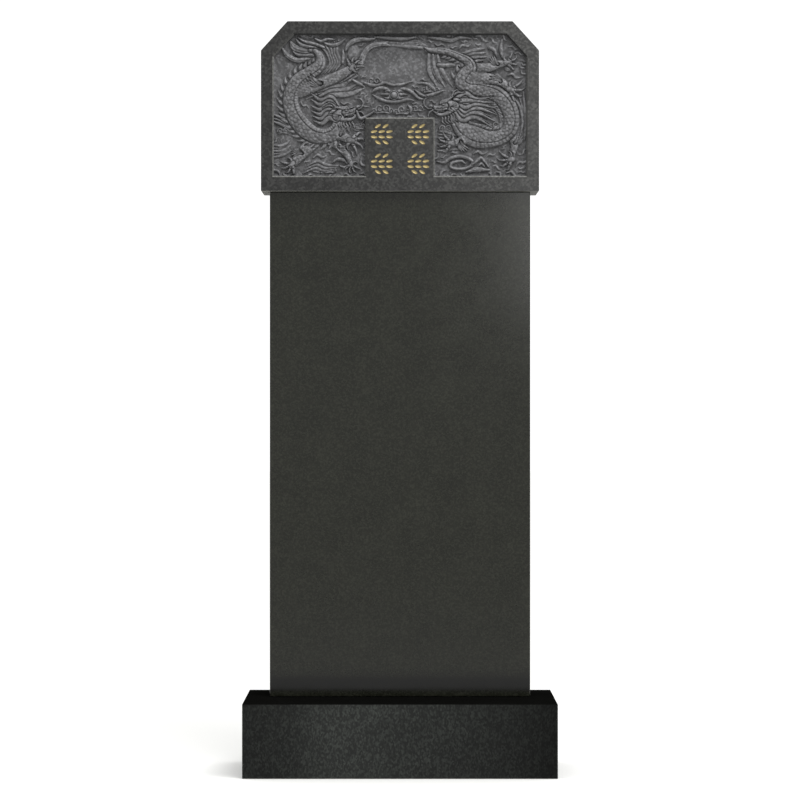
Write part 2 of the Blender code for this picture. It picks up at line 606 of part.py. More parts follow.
# Bands: middle line, half widths and height
BANDS = (
    ([(50, 306), (10, 304), (-26, 306), (-54, 304), (-73, 296), (-84, 280), (-92, 262), (-110, 246)],
     (3, 4.5, 5, 6, 6.5, 7, 8, 8), 9),
    ([(-126, 290), (-119, 304), (-106, 313), (-88, 317), (-70, 316), (-54, 322)], (2, 5, 6, 5, 4, 2), 8),
    ([(-60, 322), (-24, 319), (12, 318), (36, 322)], (2, 4, 4, 2), 6),
    ([(-132, 292), (-131, 276), (-133, 262)], (2, 3.8, 3), 8),
    ([(-198, 268), (-214, 270), (-238, 268), (-256, 276), (-267, 288), (-273, 300)], (5, 6, 6, 6, 4, 1), 9),
    ([(-202, 280), (-220, 280), (-236, 281), (-247, 289)], (5, 4, 4, 1), 9),
    ([(-204, 290), (-224, 291), (-244, 298), (-252, 310)], (5, 8, 8, 3), 6),
    ([(-196, 297), (-214, 300), (-230, 305), (-241, 318)], (4, 4, 4, 1), 8),
    ([(-176, 298), (-198, 306), (-220, 311), (-236, 321)], (3, 4, 3.5, 1), 8),
    ([(-176, 309), (-160, 303), (-142, 306), (-126, 318)], (2, 4, 4, 1), 8),
    ([(-196, 318), (-182, 312), (-168, 317), (-150, 316)], (2, 3.5, 3.5, 1), 8),
    ([(-208, 291), (-197, 288), (-190, 277), (-197, 262)], (4, 5, 5, 2), 11),
    ([(-108, 222), (-95, 214), (-82, 207)], (3, 4, 1), 7),
    ([(-82, 216), (-66, 211), (-50, 210), (-36, 216), (-18, 211), (6, 213), (30, 220)],
     (2, 4, 4, 3.5, 3, 3, 1), 6),
    ([(-114, 158), (-94, 162), (-72, 160)], (1, 3, 1), 5),
    ([(-158, 30), (-144, 39), (-128, 36), (-119, 27), (-128, 20), (-140, 24)], (1, 4, 4, 3.5, 3, 1), 8),
    ([(42, 314), (51, 302), (62, 288)], (2, 3.8, 2), 8),
    ([(164, 260), (178, 266), (192, 268)], (3, 4, 1), 9),
    ([(206, 298), (217, 292), (223, 276)], (4, 4.5, 1), 7),
    ([(64, 321), (92, 318), (118, 314), (140, 321), (166, 318)], (2, 4, 5, 4, 1), 6),
    ([(88, 257), (106, 256), (126, 258)], (4, 5, 4), 8),
    ([(236, 318), (233, 300), (234, 284), (240, 268)], (1, 4, 4, 1), 6),
    ([(40, 215), (60, 214), (76, 204), (84, 192)], (1, 3.5, 4, 1), 6),
    ([(50, 184), (74, 189), (100, 198)], (1, 4, 1), 7), ([(34, 200), (46, 190), (60, 184)], (1, 3.5, 1), 7),
    ([(18, 164), (25, 156), (24, 144)], (1, 4, 1), 7),
    ([(84, 34), (102, 31), (114, 40), (134, 46), (154, 42), (168, 32), (158, 20), (136, 16), (118, 20),
      (120, 30), (140, 35), (150, 29)], (1, 3.6, 3.8, 4, 4, 3.8, 3.8, 3.6, 3.6, 3.4, 3, 2), 8),
    ([(166, 26), (176, 34), (186, 42), (194, 35), (204, 21)], (1, 3.5, 3.5, 3, 1), 7),
    ([(180, 22), (188, 29), (196, 20)], (1, 3, 1), 6), ([(152, 9), (176, 15), (206, 14)], (2, 6, 2), 7),
)

# The left dragon's long whisker, laid over all else: middle line and half widths
LONG_WHISKER = ([(-100, 150), (-92, 134), (-76, 139), (-60, 150)], (3, 4, 3.5, 1))

# Pearl
PEARL_PLACE = (-14, 187)
PEARL_RADIUS = 8


def compose() -> Carving:
    """Carve the whole field, from its low bosses to the dragons and the whisker laid over them."""
    art = Carving(DRAWN_WIDTH, DRAWN_HEIGHT, DRAWN_PITCH)
    for at, radius, squash in BOSSES:
        art.dome(at, radius, 1, 5, squash=squash, trench=1.6)
    for cloud in BACKDROP_CLOUDS:
        art.cloud(*cloud)
    for tress in TRESSES:
        art.locks(*tress)
    for points, radii, high in BANDS:
        art.streamer(points, radii, high=high)
    pearl(art, PEARL_PLACE, PEARL_RADIUS)
    art.dragon(LEFT_DRAGON)
    art.dragon(RIGHT_DRAGON)
    art.lay(*LONG_WHISKER, 3, 11)
    art.soften(SOFTENING)
    return art


def link(name: str, mesh: bpy.types.Mesh, collection: bpy.types.Collection) -> bpy.types.Object:
    """Put a mesh in a collection as a named object."""
    thing = bpy.data.objects.new(name, mesh)
    collection.objects.link(thing)
    return thing


def finish_mesh(name: str, bm: bmesh.types.BMesh) -> bpy.types.Mesh:
    """Turn a closed bmesh's faces outwards and make it a mesh."""
    bmesh.ops.recalc_face_normals(bm, faces=bm.faces)
    mesh = bpy.data.meshes.new(name)
    bm.to_mesh(mesh)
    bm.free()
    return mesh


def sawn_block(name: str, low: Vector, high: Vector, cuts: Sequence = ()) -> bpy.types.Mesh:
    """Make a block between two corners, with sloping sides sawn off.

    Args:
        name: The mesh's name.
        low: Its lowest corner.
        high: Its highest corner.
        cuts: A point on each saw cut and the direction of what falls away.

    Returns:
        The closed mesh.
    """
    bm = bmesh.new()
    size = Matrix.Diagonal((*(high - low), 1))
    bmesh.ops.create_cube(bm, size=1, matrix=Matrix.Translation((low + high) / 2) @ size)
    for point, away in cuts:
        geometry = [*bm.verts, *bm.edges, *bm.faces]
        sawn = bmesh.ops.bisect_plane(bm, geom=geometry, plane_co=point, plane_no=away, clear_outer=True)
        edges = [item for item in sawn["geom_cut"] if isinstance(item, bmesh.types.BMEdge)]
        bmesh.ops.edgeloop_fill(bm, edges=edges)
    return finish_mesh(name, bm)


def granite(name: str, colour: tuple[float, float, float], roughness: float) -> bpy.types.Material:
    """Make a plain stone material."""
    material = bpy.data.materials.new(name)
    material.use_nodes = True
    shader = material.node_tree.nodes["Principled BSDF"]
    shader.inputs["Base Color"].default_value = (*colour, 1)
    shader.inputs["Roughness"].default_value = roughness
    shader.inputs["Metallic"].default_value = 0
    material.diffuse_color = (*colour, 1)
    return material


def stone(name: str, mesh: bpy.types.Mesh, material: bpy.types.Material) -> bpy.types.Object:
    """Place one stone with its edges eased."""
    thing = link(name, mesh, parts)
    mesh.materials.append(material)
    bevel = thing.modifiers.new("Arris", "BEVEL")
    bevel.width = ARRIS
    bevel.segments = 2
    bevel.limit_method = "ANGLE"
    return thing


def boolean(thing: bpy.types.Object, operation: str, other: bpy.types.Object) -> None:
    """Cut or keep a stone or a cutter by another."""
    modifier = thing.modifiers.new(other.name, "BOOLEAN")
    modifier.operation = operation
    modifier.solver = "EXACT"
    modifier.object = other


def cutter(name: str, mesh: bpy.types.Mesh) -> bpy.types.Object:
    """Place a cutter, which isn't part of the headstone."""
    thing = link(name, mesh, cutters)
    thing.hide_render = True
    thing.display_type = "WIRE"
    return thing


def relief_mould(low: Vector, high: Vector, clear: float) -> bpy.types.Object:
    """Make the cutter whose inner face is the carved field.

    Args:
        low: Left foot of the field, on the cap stone's face.
        high: Right top of the field, on the cap stone's face.
        clear: How far the cutter stands out of the stone and past the field's edges.

    Returns:
        The cutter, a closed solid.
    """
    art = compose()
    rows, columns = art.x.shape
    bm = bmesh.new()
    bmesh.ops.create_grid(bm, x_segments=columns - 1, y_segments=rows - 1, size=1)
    spread_x, spread_z = (high.x - low.x) / DRAWN_WIDTH, (high.z - low.z) / DRAWN_HEIGHT
    for vertex in bm.verts:
        column = round((vertex.co.x + 1) / 2 * (columns - 1))
        row = round((vertex.co.y + 1) / 2 * (rows - 1))
        past_x = clear * ((column == columns - 1) - (column == 0))
        past_z = clear * ((row == rows - 1) - (row == 0))
        depth = FIELD_DEPTH * (1 - art.rise[row, column] / DRAWN_DEPTH)
        vertex.co = (low.x + spread_x * (art.x[row, column] + DRAWN_WIDTH / 2) + past_x, low.y + depth,
                     low.z + spread_z * art.z[row, column] + past_z)
    sheet = link("relief_sheet", bpy.data.meshes.new("relief_sheet"), cutters)
    bm.to_mesh(sheet.data)
    thin = sheet.modifiers.new("Fewer triangles", "DECIMATE")
    thin.ratio = RELIEF_TRIANGLES / (2 * len(bm.faces))
    bm.free()
    bpy.context.view_layer.update()
    evaluated = sheet.evaluated_get(bpy.context.evaluated_depsgraph_get())
    bm = bmesh.new()
    bm.from_mesh(evaluated.to_mesh())
    evaluated.to_mesh_clear()
    bpy.data.objects.remove(sheet)
    border = [edge for edge in bm.edges if edge.is_boundary]
    rim = bmesh.ops.extrude_edge_only(bm, edges=border)["geom"]
    for vertex in (item for item in rim if isinstance(item, bmesh.types.BMVert)):
        vertex.co.y = low.y - clear
    bmesh.ops.edgeloop_fill(bm, edges=[edge for edge in bm.edges if edge.is_boundary])
    return cutter("relief_mould", finish_mesh("relief_mould", bm))


def stroke_dabs(face: float, foot: float) -> bpy.types.Object:
    """Make the cutters of the plaque's marks: rows of dabs that taper to both ends.

    Args:
        face: The plaque's face.
        foot: The foot of the field.

    Returns:
        One cutter with every dab.
    """
    bm = bmesh.new()
    half = Matrix.Diagonal((STROKE_WIDTH / 2, STROKE_DEPTH, STROKE_LENGTH / 2, 1))
    for column in (-0.5, 0.5):
        for level in (0, 1):
            middle = Vector((column * MARK_SPACING[0], face - STROKE_PROUD,
                             foot + MARK_FOOT + level * MARK_SPACING[1]))
            for line, (count, slant) in enumerate(zip(STROKE_ROWS, STROKE_SLANTS)):
                for place in range(count):
                    shift = Vector(((place - (count - 1) / 2) * STROKE_PITCH[0], 0,
                                    ((len(STROKE_ROWS) - 1) / 2 - line) * STROKE_PITCH[1]))
                    turn = Matrix.Rotation(math.radians(90 - slant), 4, "Y")
                    bmesh.ops.create_uvsphere(bm, u_segments=6, v_segments=4, radius=1,
                                              matrix=Matrix.Translation(middle + shift) @ turn @ half)
    return cutter("stroke_dabs", finish_mesh("stroke_dabs", bm))


def main() -> None:
    """Build the three stones, from the ground up."""
    base_half = Vector((SLAB_WIDTH / 2 + SIDE_LEDGE, (FRONT_LEDGE + SLAB_THICKNESS + BACK_LEDGE) / 2, 0))
    base_top = Vector((base_half.x, base_half.y, BASE_HEIGHT))
    stone("base", sawn_block("base", -base_half, base_top),
          granite("Rough granite", (0.027, 0.027, 0.024), 0.75))

    slab_low = Vector((-SLAB_WIDTH / 2, FRONT_LEDGE - base_half.y, BASE_HEIGHT + SEAT_GAP))
    slab_high = slab_low + Vector((SLAB_WIDTH, SLAB_THICKNESS, SLAB_HEIGHT))
    stone("slab", sawn_block("slab", slab_low, slab_high),
          granite("Polished granite", (0.035, 0.036, 0.030), 0.2))

    over = Vector((CAP_OVERHANG, CAP_OVERHANG, 0))
    cap_low = Vector((slab_low.x, slab_low.y, slab_high.z + SEAT_GAP)) - over
    cap_high = Vector((slab_high.x, slab_high.y, cap_low.z + CAP_HEIGHT)) + over
    away = [Vector((side * CORNER_HEIGHT, 0, CORNER_WIDTH)).normalized() for side in (-1, 1)]
    corners = [Vector((side * cap_high.x, 0, cap_high.z - CORNER_HEIGHT)) for side in (-1, 1)]
    cap = stone("cap", sawn_block("cap", cap_low, cap_high, list(zip(corners, away))),
                granite("Carved granite", (0.075, 0.075, 0.070), 0.5))

    field_low = Vector((cap_low.x + FRAME_SIDE, cap_low.y, cap_low.z + FRAME_FOOT))
    field_high = Vector((cap_high.x - FRAME_SIDE, cap_low.y, cap_high.z - FRAME_TOP))
    clear = 2 * FIELD_DEPTH
    reach = Vector((0, clear + ARRIS, 0))
    inner = [(corner - FRAME_CORNER * way, way) for corner, way in zip(corners, away)]
    outline = cutter("field_outline",
                     sawn_block("field_outline", field_low - reach, field_high + reach, inner))
    plaque_low = Vector((-PLAQUE_WIDTH / 2, field_low.y - 2 * clear, field_low.z - clear))
    plaque_high = Vector((PLAQUE_WIDTH / 2, field_low.y + 2 * clear, field_low.z + PLAQUE_HEIGHT))
    plaque = cutter("plaque_blank", sawn_block("plaque_blank", plaque_low, plaque_high))
    mould = relief_mould(field_low, field_high, clear)
    boolean(mould, "INTERSECT", outline)
    boolean(mould, "DIFFERENCE", plaque)
    boolean(cap, "DIFFERENCE", stroke_dabs(field_low.y, field_low.z))
    boolean(cap, "DIFFERENCE", mould)


for old in list(bpy.data.objects):
    bpy.data.objects.remove(old)
parts = bpy.data.collections.new("headstone")
cutters = bpy.data.collections.new("cutters")
for group in (parts, cutters):
    bpy.context.scene.collection.children.link(group)
main()
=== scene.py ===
"""A granite headstone dressed for looks: a hammered base block, a polished slab and a carved cap stone.

The frame gives the three stones' places. Each is replaced by a finer mesh of the same form: the base with
its hammered faces, the slab with its eased edges and sawn back, and the cap with the whole relief of dragons,
pearl, clouds and bands, and its gilded marks.
"""
import logging
import math
from collections.abc import Callable, Sequence
from dataclasses import dataclass, replace
from enum import Enum, IntEnum

import bmesh
import bpy
import numpy as np
from mathutils import Matrix, Vector, noise

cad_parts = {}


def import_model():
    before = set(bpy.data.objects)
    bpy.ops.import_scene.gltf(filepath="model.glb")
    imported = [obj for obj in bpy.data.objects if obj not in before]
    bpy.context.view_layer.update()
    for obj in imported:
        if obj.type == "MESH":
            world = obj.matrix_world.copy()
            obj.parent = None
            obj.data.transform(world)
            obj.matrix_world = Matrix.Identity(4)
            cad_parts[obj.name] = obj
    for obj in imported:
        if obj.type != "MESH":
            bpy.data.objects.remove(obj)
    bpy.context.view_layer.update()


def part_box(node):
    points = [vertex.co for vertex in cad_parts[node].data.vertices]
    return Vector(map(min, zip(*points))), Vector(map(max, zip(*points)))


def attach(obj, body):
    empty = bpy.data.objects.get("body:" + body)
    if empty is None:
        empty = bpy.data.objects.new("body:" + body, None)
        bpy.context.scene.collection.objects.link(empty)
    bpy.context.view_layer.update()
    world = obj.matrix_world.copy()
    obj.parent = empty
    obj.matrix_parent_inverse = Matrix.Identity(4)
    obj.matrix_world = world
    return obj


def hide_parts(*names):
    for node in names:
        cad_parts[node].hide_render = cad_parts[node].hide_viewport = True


MM = 0.001
# Shares of a direction in a face's normal: mostly that way, facing it, flush with it, or only sloping to it
MOSTLY = 0.5
FACING = 0.9
FLUSH = 0.95
SLOPING = 0.3
# Nearly all values of a noise texture lie between these
NOISE_LOW = 0.3
NOISE_HIGH = 0.7
log = logging.getLogger("headstone")

Points = Sequence[tuple[float, float]]


def curve_rows(points: Sequence, step: float) -> np.ndarray:
    """Sample a smooth curve through rows of two or more columns.

    Args:
        points: The rows it passes through; the first two columns are its place.
        step: Rough distance between samples.

    Returns:
        The samples, one row each.
    """
    given = np.asarray(points, float)
    given = np.vstack([2 * given[0] - given[1], given, 2 * given[-1] - given[-2]])
    rows = []
    for a, b, c, d in zip(given[:-3], given[1:-2], given[2:-1], given[3:]):
        count = max(2, int(np.hypot(*(c - b)[:2]) / step))
        t = np.linspace(0, 1, count, endpoint=False)[:, None]
        rows.append(b + 0.5 * t * (c - a + t * (2 * a - 5 * b + 4 * c - d + t * (3 * (b - c) + d - a))))
    return np.vstack([*rows, given[-2:-1]])


@dataclass(frozen=True)
class Stamp:
    """A place, heading, size and handedness for a motif drawn one unit long."""

    at: tuple[float, float]
    heading: float
    size: float
    turn: int = 1

    def place(self, points: Points) -> np.ndarray:
        """Take points of the unit motif to the drawing.

        Args:
            points: Places on the motif, which runs along x from 0 to 1.

        Returns:
            Their places on the drawing, one row each.
        """
        x, z = (np.asarray(points, float) * (self.size, self.size * self.turn)).T
        c, s = math.cos(math.radians(self.heading)), math.sin(math.radians(self.heading))
        return np.column_stack([x * c - z * s, x * s + z * c]) + self.at


@dataclass(frozen=True)
class Leg:
    """A limb from its root to its foot, with a flame of hair at one joint."""

    points: Points
    radii: tuple[float, ...]
    foot: tuple[float, float]
    turn: int
    hair: tuple[int, float, float, int]


@dataclass(frozen=True)
class Dragon:
    """One dragon's pose: the run of its body from tail to neck, its head, mane and legs."""

    body: Points
    radii: tuple[float, ...]
    head: Stamp
    mane: tuple[Points, ...]
    strands: int
    hair: tuple[Points, ...]
    behind: tuple[Leg, ...]
    before: tuple[Leg, ...]


# The two dragons, drawn in millimetres from the middle of the field's foot
RIGHT_DRAGON = Dragon(
    body=[(56, 297), (72, 291), (92, 290), (114, 286), (136, 277), (156, 266), (163, 250), (150, 234),
          (143, 218), (157, 206), (188, 202), (222, 191), (246, 168), (257, 138), (253, 108), (232, 90),
          (202, 85), (174, 90), (150, 102), (134, 120), (126, 142)],
    radii=(2, 5, 7.5, 7, 8, 10, 13, 16, 17, 17, 17.5, 18, 18.5, 18, 17, 17, 20, 24, 20, 15, 12),
    head=Stamp((122, 160), 190, 58, -1),
    mane=([(126, 176), (150, 192), (176, 178), (214, 184)],
          [(128, 164), (152, 150), (180, 162), (226, 150)],
          [(124, 148), (144, 128), (172, 136), (214, 112)]),
    strands=6,
    hair=([(62, 299), (36, 310), (8, 304), (-30, 308)], [(62, 296), (38, 298), (10, 300), (-20, 302)]),
    behind=(Leg([(170, 250), (200, 250), (226, 258), (246, 262)], (12, 11, 9, 6),
                (8, 24), -1, (2, 150, 24, -1)),
            Leg([(250, 104), (264, 76), (256, 38)], (13, 9, 6), (200, 27), 1, (1, 30, 24, 1))),
    before=(Leg([(168, 228), (200, 226), (232, 218), (254, 200)], (14, 13, 10, 7),
                (-18, 29), -1, (2, 130, 26, 1)),
            Leg([(158, 92), (140, 80), (118, 76)], (14, 10, 7), (182, 27), 1, (1, -80, 26, 1))),
)
LEFT_DRAGON = Dragon(
    body=[(-196, 290), (-184, 276), (-186, 256), (-206, 240), (-232, 222), (-249, 196), (-252, 168),
          (-243, 140), (-225, 115), (-202, 97), (-176, 92), (-154, 100), (-142, 118), (-140, 136)],
    radii=(5, 9, 13, 15, 16.5, 17.5, 18, 19, 20, 19, 17, 16, 14, 12),
    head=Stamp((-142, 138), 14, 56, 1),
    mane=([(-142, 158), (-158, 182), (-182, 176), (-206, 192)],
          [(-148, 148), (-168, 160), (-184, 148), (-206, 156)],
          [(-146, 128), (-164, 134), (-180, 122), (-200, 128)]),
    strands=6,
    hair=(),
    behind=(Leg([(-200, 82), (-226, 52), (-248, 28)], (17, 13, 9), (224, 24), 1, (1, 165, 26, 1)),
            Leg([(-166, 84), (-142, 68), (-124, 50), (-113, 28)], (10, 8, 7, 5.5),
                (-84, 20), -1, (1, -30, 20, 1))),
    before=(Leg([(-232, 196), (-182, 214), (-140, 232), (-112, 250)], (15, 13, 12, 8),
                (64, 24), 1, (1, 178, 34, -1)),
            Leg([(-160, 92), (-138, 94), (-114, 82)], (14, 12, 8), (-10, 30), 1, (1, 64, 24, 1))),
)


class Carving:
    """The carved field as heights above its ground, in drawing millimetres.

    Figures are laid one over another as ribbons and domes; x runs from the field's middle, z from its foot.
    CURVE_STEP is the least distance between samples of a curve, LEAST_RADIUS the thinnest that a ribbon may
    be, and BARE_HEIGHT the height under which the ground counts as bare.
    """

    CURVE_STEP = 1.5
    LEAST_RADIUS = 0.35
    BARE_HEIGHT = 1.2

    def __init__(self, width: float, height: float, pitch: float) -> None:
        """Lay out a bare field.

        Args:
            width: Drawn width of the field.
            height: Drawn height of the field.
            pitch: Spacing of the grid.
        """
        self.low = np.array([-width / 2, 0.0])
        self.step = np.array([width / round(width / pitch), height / round(height / pitch)])
        across = self.low[0] + self.step[0] * np.arange(round(width / pitch) + 1)
        up = self.step[1] * np.arange(round(height / pitch) + 1)
        self.x, self.z = np.meshgrid(across, up)
        self.rise = np.zeros_like(self.x)
        self.pitch = pitch

    def window(self, low: np.ndarray, high: np.ndarray) -> tuple[slice, slice]:
        """Find the rows and columns of the grid inside a box.

        Args:
            low: The box's left foot.
            high: The box's right top.

        Returns:
            The rows and the columns.
        """
        first = np.maximum(((low - self.low) / self.step).astype(int), 0)
        last = np.minimum(((high - self.low) / self.step).astype(int) + 2, self.x.shape[::-1])
        last = np.maximum(first, last)
        return slice(first[1], last[1]), slice(first[0], last[0])

    def ribbon(self, points: Points, radii: Sequence[float], margin: float) -> tuple:
        """Measure the grid against a ribbon of changing radius.

        Args:
            points: The ribbon's middle line.
            radii: Half widths, spread evenly over the points.
            margin: How far beyond its edge the ribbon is measured.

        Returns:
            The window; then, in it, distance over radius, the side, the run along and the radius; then the
            length.
        """
        places = np.linspace(0, 1, len(points))
        half = np.interp(places, np.linspace(0, 1, len(radii)), radii)
        rows = curve_rows(np.column_stack([points, half]), max(self.CURVE_STEP, self.pitch))
        rows[:, 2] = np.maximum(rows[:, 2], self.LEAST_RADIUS)
        reach = rows[:, 2].max() + margin
        whole = self.window(rows[:, :2].min(0) - reach, rows[:, :2].max(0) + reach)
        shape = self.x[whole].shape
        share, side, along, radius = np.full(shape, 1e9), np.zeros(shape), np.zeros(shape), np.ones(shape)
        run = 0.0
        for a, b in zip(rows[:-1], rows[1:]):
            d = b[:2] - a[:2]
            length = np.hypot(*d)
            reach = max(a[2], b[2]) + margin
            near = self.window(np.minimum(a[:2], b[:2]) - reach, np.maximum(a[:2], b[:2]) + reach)
            part = tuple(slice(n.start - w.start, n.stop - w.start) for n, w in zip(near, whole))
            dx, dz = self.x[near] - a[0], self.z[near] - a[1]
            t = np.clip((dx * d[0] + dz * d[1]) / max(length, 1e-9) ** 2, 0, 1)
            local = a[2] + t * (b[2] - a[2])
            ratio = np.hypot(dx - t * d[0], dz - t * d[1]) / local
            nearer = ratio < share[part]
            fresh = (ratio, np.sign(d[0] * dz - d[1] * dx), run + t * length, local)
            for field, value in zip((share, side, along, radius), fresh):
                field[part] = np.where(nearer, value, field[part])
            run += length
        return whole, share, side, along, radius, run

    def press(self, where: tuple, new: np.ndarray, share: np.ndarray, radius: np.ndarray | float,
              trench: float, deep: float, over: bool) -> None:
        """Lay a shape over what is there, with a shallow trench around it.

        Args:
            where: The window it covers.
            new: Its heights.
            share: Distance over radius; the shape lies where it is under one.
            radius: The radius that distance is a share of.
            trench: Width of the trench, or 0 for none.
            deep: How much of the old height the trench takes away.
            over: Whether the shape hides what is under it, and doesn't only stand through it.
        """
        old = self.rise[where]
        if trench:
            out = np.maximum(share - 1, 0) * radius
            old = np.where(share > 1, old * (1 - deep * np.exp(-((out / trench) ** 2))), old)
        self.rise[where] = np.where(share < 1, new if over else np.maximum(new, old), old)

    def lay(self, points: Points, radii: Sequence[float], low: float, high: float | tuple, *,
            power: float = 0.5, trench: float = 1.3, deep: float = 0.6, over: bool = True,
            rooted: float = 0, detail: Callable | None = None) -> None:
        """Carve a ribbon with a domed section.

        Args:
            points: Its middle line.
            radii: Its half widths along that line.
            low: Height at its edge.
            high: Height at its crown, or heights spread evenly along it.
            power: Roundness of the section.
            trench: Width of the trench around it.
            deep: Share of the old height that the trench takes.
            over: Whether it hides what is under it.
            rooted: Run over which it grows out of what is under it, without a trench.
            detail: Adds heights from share, side, run along, radius and length.
        """
        where, share, side, along, radius, run = self.ribbon(points, radii, 3 * trench)
        crown = np.interp(along / run, np.linspace(0, 1, np.size(high)), np.atleast_1d(high))
        new = low + (crown - low) * np.clip(1 - share**2, 0, 1) ** power
        if rooted:
            deep = deep * np.clip(along / rooted - 0.3, 0, 1)
        if detail:
            new = new + detail(share, side, along, radius, run)
        self.press(where, new, share, radius, trench, deep, over)

    def dome(self, at: Sequence[float], radius: float, low: float, high: float, *, trench: float = 2.0,
             deep: float = 0.75, over: bool = True, squash: float = 1.0) -> None:
        """Carve a round or flattened dome.

        Args:
            at: Its middle.
            radius: Its half width.
            low: Height at its edge.
            high: Height at its crown.
            trench: Width of the trench around it.
            deep: Share of the old height that the trench takes.
            over: Whether it hides what is under it.
            squash: Its height on the field over its width.
        """
        where = self.window(np.array(at) - radius - 3 * trench, np.array(at) + radius + 3 * trench)
        share = np.hypot(self.x[where] - at[0], (self.z[where] - at[1]) / squash) / radius
        new = low + (high - low) * np.sqrt(np.clip(1 - share**2, 0, 1))
        self.press(where, new, share, radius, trench, deep, over)

    def soften(self, spread: float) -> None:
        """Blur the heights a little, as polishing grit does.

        Args:
            spread: Spread of the blur.
        """
        reach = max(1, round(3 * spread / self.pitch))
        weights = np.exp(-0.5 * (np.arange(-reach, reach + 1) * self.pitch / spread) ** 2)
        for axis in (0, 1):
            margins = [(reach, reach) if a == axis else (0, 0) for a in (0, 1)]
            padded = np.pad(self.rise, margins, mode="edge")
            rows = [w * np.roll(padded, k - reach, axis) for k, w in enumerate(weights / weights.sum())]
            keep = [slice(reach, -reach) if a == axis else slice(None) for a in (0, 1)]
            self.rise = sum(rows)[tuple(keep)]

    def scales(self, pitch: float, depth: float, belly: float, root: float) -> Callable:
        """Make a detail of overlapping scales, with plain ribs on the belly side.

        Args:
            pitch: Length of one scale.
            depth: How deep the scales are cut.
            belly: Share of the half width at which the belly starts.
            root: Run over which the scales fade in.

        Returns:
            A detail for lay.
        """
        def detail(share: np.ndarray, side: np.ndarray, along: np.ndarray, radius: np.ndarray,
                   _: float) -> np.ndarray:
            """Give the heights that scales and belly ribs add."""
            lateral = np.arcsin(np.clip(share * side, -1, 1)) * radius * 0.8
            scale = np.zeros_like(along)
            covered = np.zeros(along.shape, bool)
            for back in (-1, 0, 1):
                row = np.floor(along / pitch) - back
                shift = 0.5 * (row % 2)
                column = np.round(lateral / pitch - shift) + shift
                ahead = (along - (row + 0.35) * pitch) / (0.95 * pitch)
                r = np.clip(np.hypot(ahead, (lateral / pitch - column) / 0.58), 0, 1)
                inside = (r < 1) & ~covered
                scale = np.where(inside, 0.65 * (1 - r**2.5) ** 0.6 + 0.35 * (1 - r), scale)
                covered |= inside
            fade = np.clip((1 - share) / 0.14, 0, 1) * np.clip(along / root, 0, 1)
            ribs = 0.75 * (np.abs(np.sin(math.pi * along / (0.9 * pitch))) ** 0.7 - 0.6)
            seam = 1.1 * np.exp(-(((share * side - belly) * radius / 1.2) ** 2))
            return depth * fade * (np.where(share * side > belly, ribs, scale - 0.55) - seam)
        return detail

    def hair(self, root: Stamp, count: int, fan: float, *, low: float = 2.5, high: float = 7.5,
             width: float = 0.1) -> None:
        """Fan out flame-like locks from one point.

        Args:
            root: Where they start and head.
            count: Number of locks.
            fan: Angle that they spread over.
            low: Height at their edges.
            high: Height at their roots.
            width: Half width of a lock over its length.
        """
        for a in np.radians(np.linspace(-fan / 2, fan / 2, count)):
            reach = 0.75 + 0.25 * math.cos(2 * a)
            c, s = reach * math.cos(a), reach * math.sin(a)
            lock = [(0, 0), (0.35 * c, 0.35 * s - 0.05), (0.7 * c, 0.7 * s + 0.05), (c, s + 0.2)]
            radii = root.size * width * np.array([1.2, 1.1, 0.8, 0.1])
            self.lay(root.place(lock), radii, low, (high, low + 1), trench=1.0, deep=0.5)

    def locks(self, guides: tuple[Points, ...], count: int, radii: Sequence[float],
              low: float, high: float) -> None:
        """Lay strands of hair side by side between guides.

        Args:
            guides: Curves of equally many points that the strands are blended between.
            count: Number of strands.
            radii: Half widths of a strand.
            low: Height at its edge.
            high: Height at its root.
        """
        rows = np.array(guides, float)
        last = len(guides) - 1
        for thin in (1, 0):
            for place in np.linspace(0, last, count) - 0.5 * thin * last / (count - 1):
                if place < 0:
                    continue
                first = min(int(place), last - 1)
                points = rows[first] + (place - first) * (rows[first + 1] - rows[first])
                points = points + 0.12 * thin * (points[:1] - points)
                self.lay(points, np.array(radii) * (1 - 0.35 * thin), low - thin, (high - thin, low + 1.5))

    def fins(self, body: Points, radii: Sequence[float], spacing: float, length: float) -> None:
        """Stand a row of swept fins along the right-hand side of a body.

        Args:
            body: The body's middle line.
            radii: Its half widths.
            spacing: Distance between fins.
            length: Length of a full fin.
        """
        rows = curve_rows(np.column_stack([body, radii]), self.CURVE_STEP)
        run = np.concatenate([[0], np.cumsum(np.hypot(*np.diff(rows[:, :2], axis=0).T))])
        for at in np.arange(0.1 * run[-1], 0.97 * run[-1], spacing):
            i = int(np.clip(np.searchsorted(run, at), 1, len(rows) - 2))
            ahead = rows[i + 1, :2] - rows[i - 1, :2]
            ahead /= np.hypot(*ahead)
            out = np.array([ahead[1], -ahead[0]])
            grown = length * min(1, 0.35 + at / (0.35 * run[-1]))
            foot = rows[i, :2] + 0.72 * rows[i, 2] * out
            tip = foot + grown * (1.05 * out - 0.8 * ahead)
            fin = [foot, foot + grown * (0.6 * out - 0.16 * ahead), tip]
            self.lay(fin, spacing * np.array([0.42, 0.34, 0.04]), 2.5, (8.0, 3.5), deep=0.5)

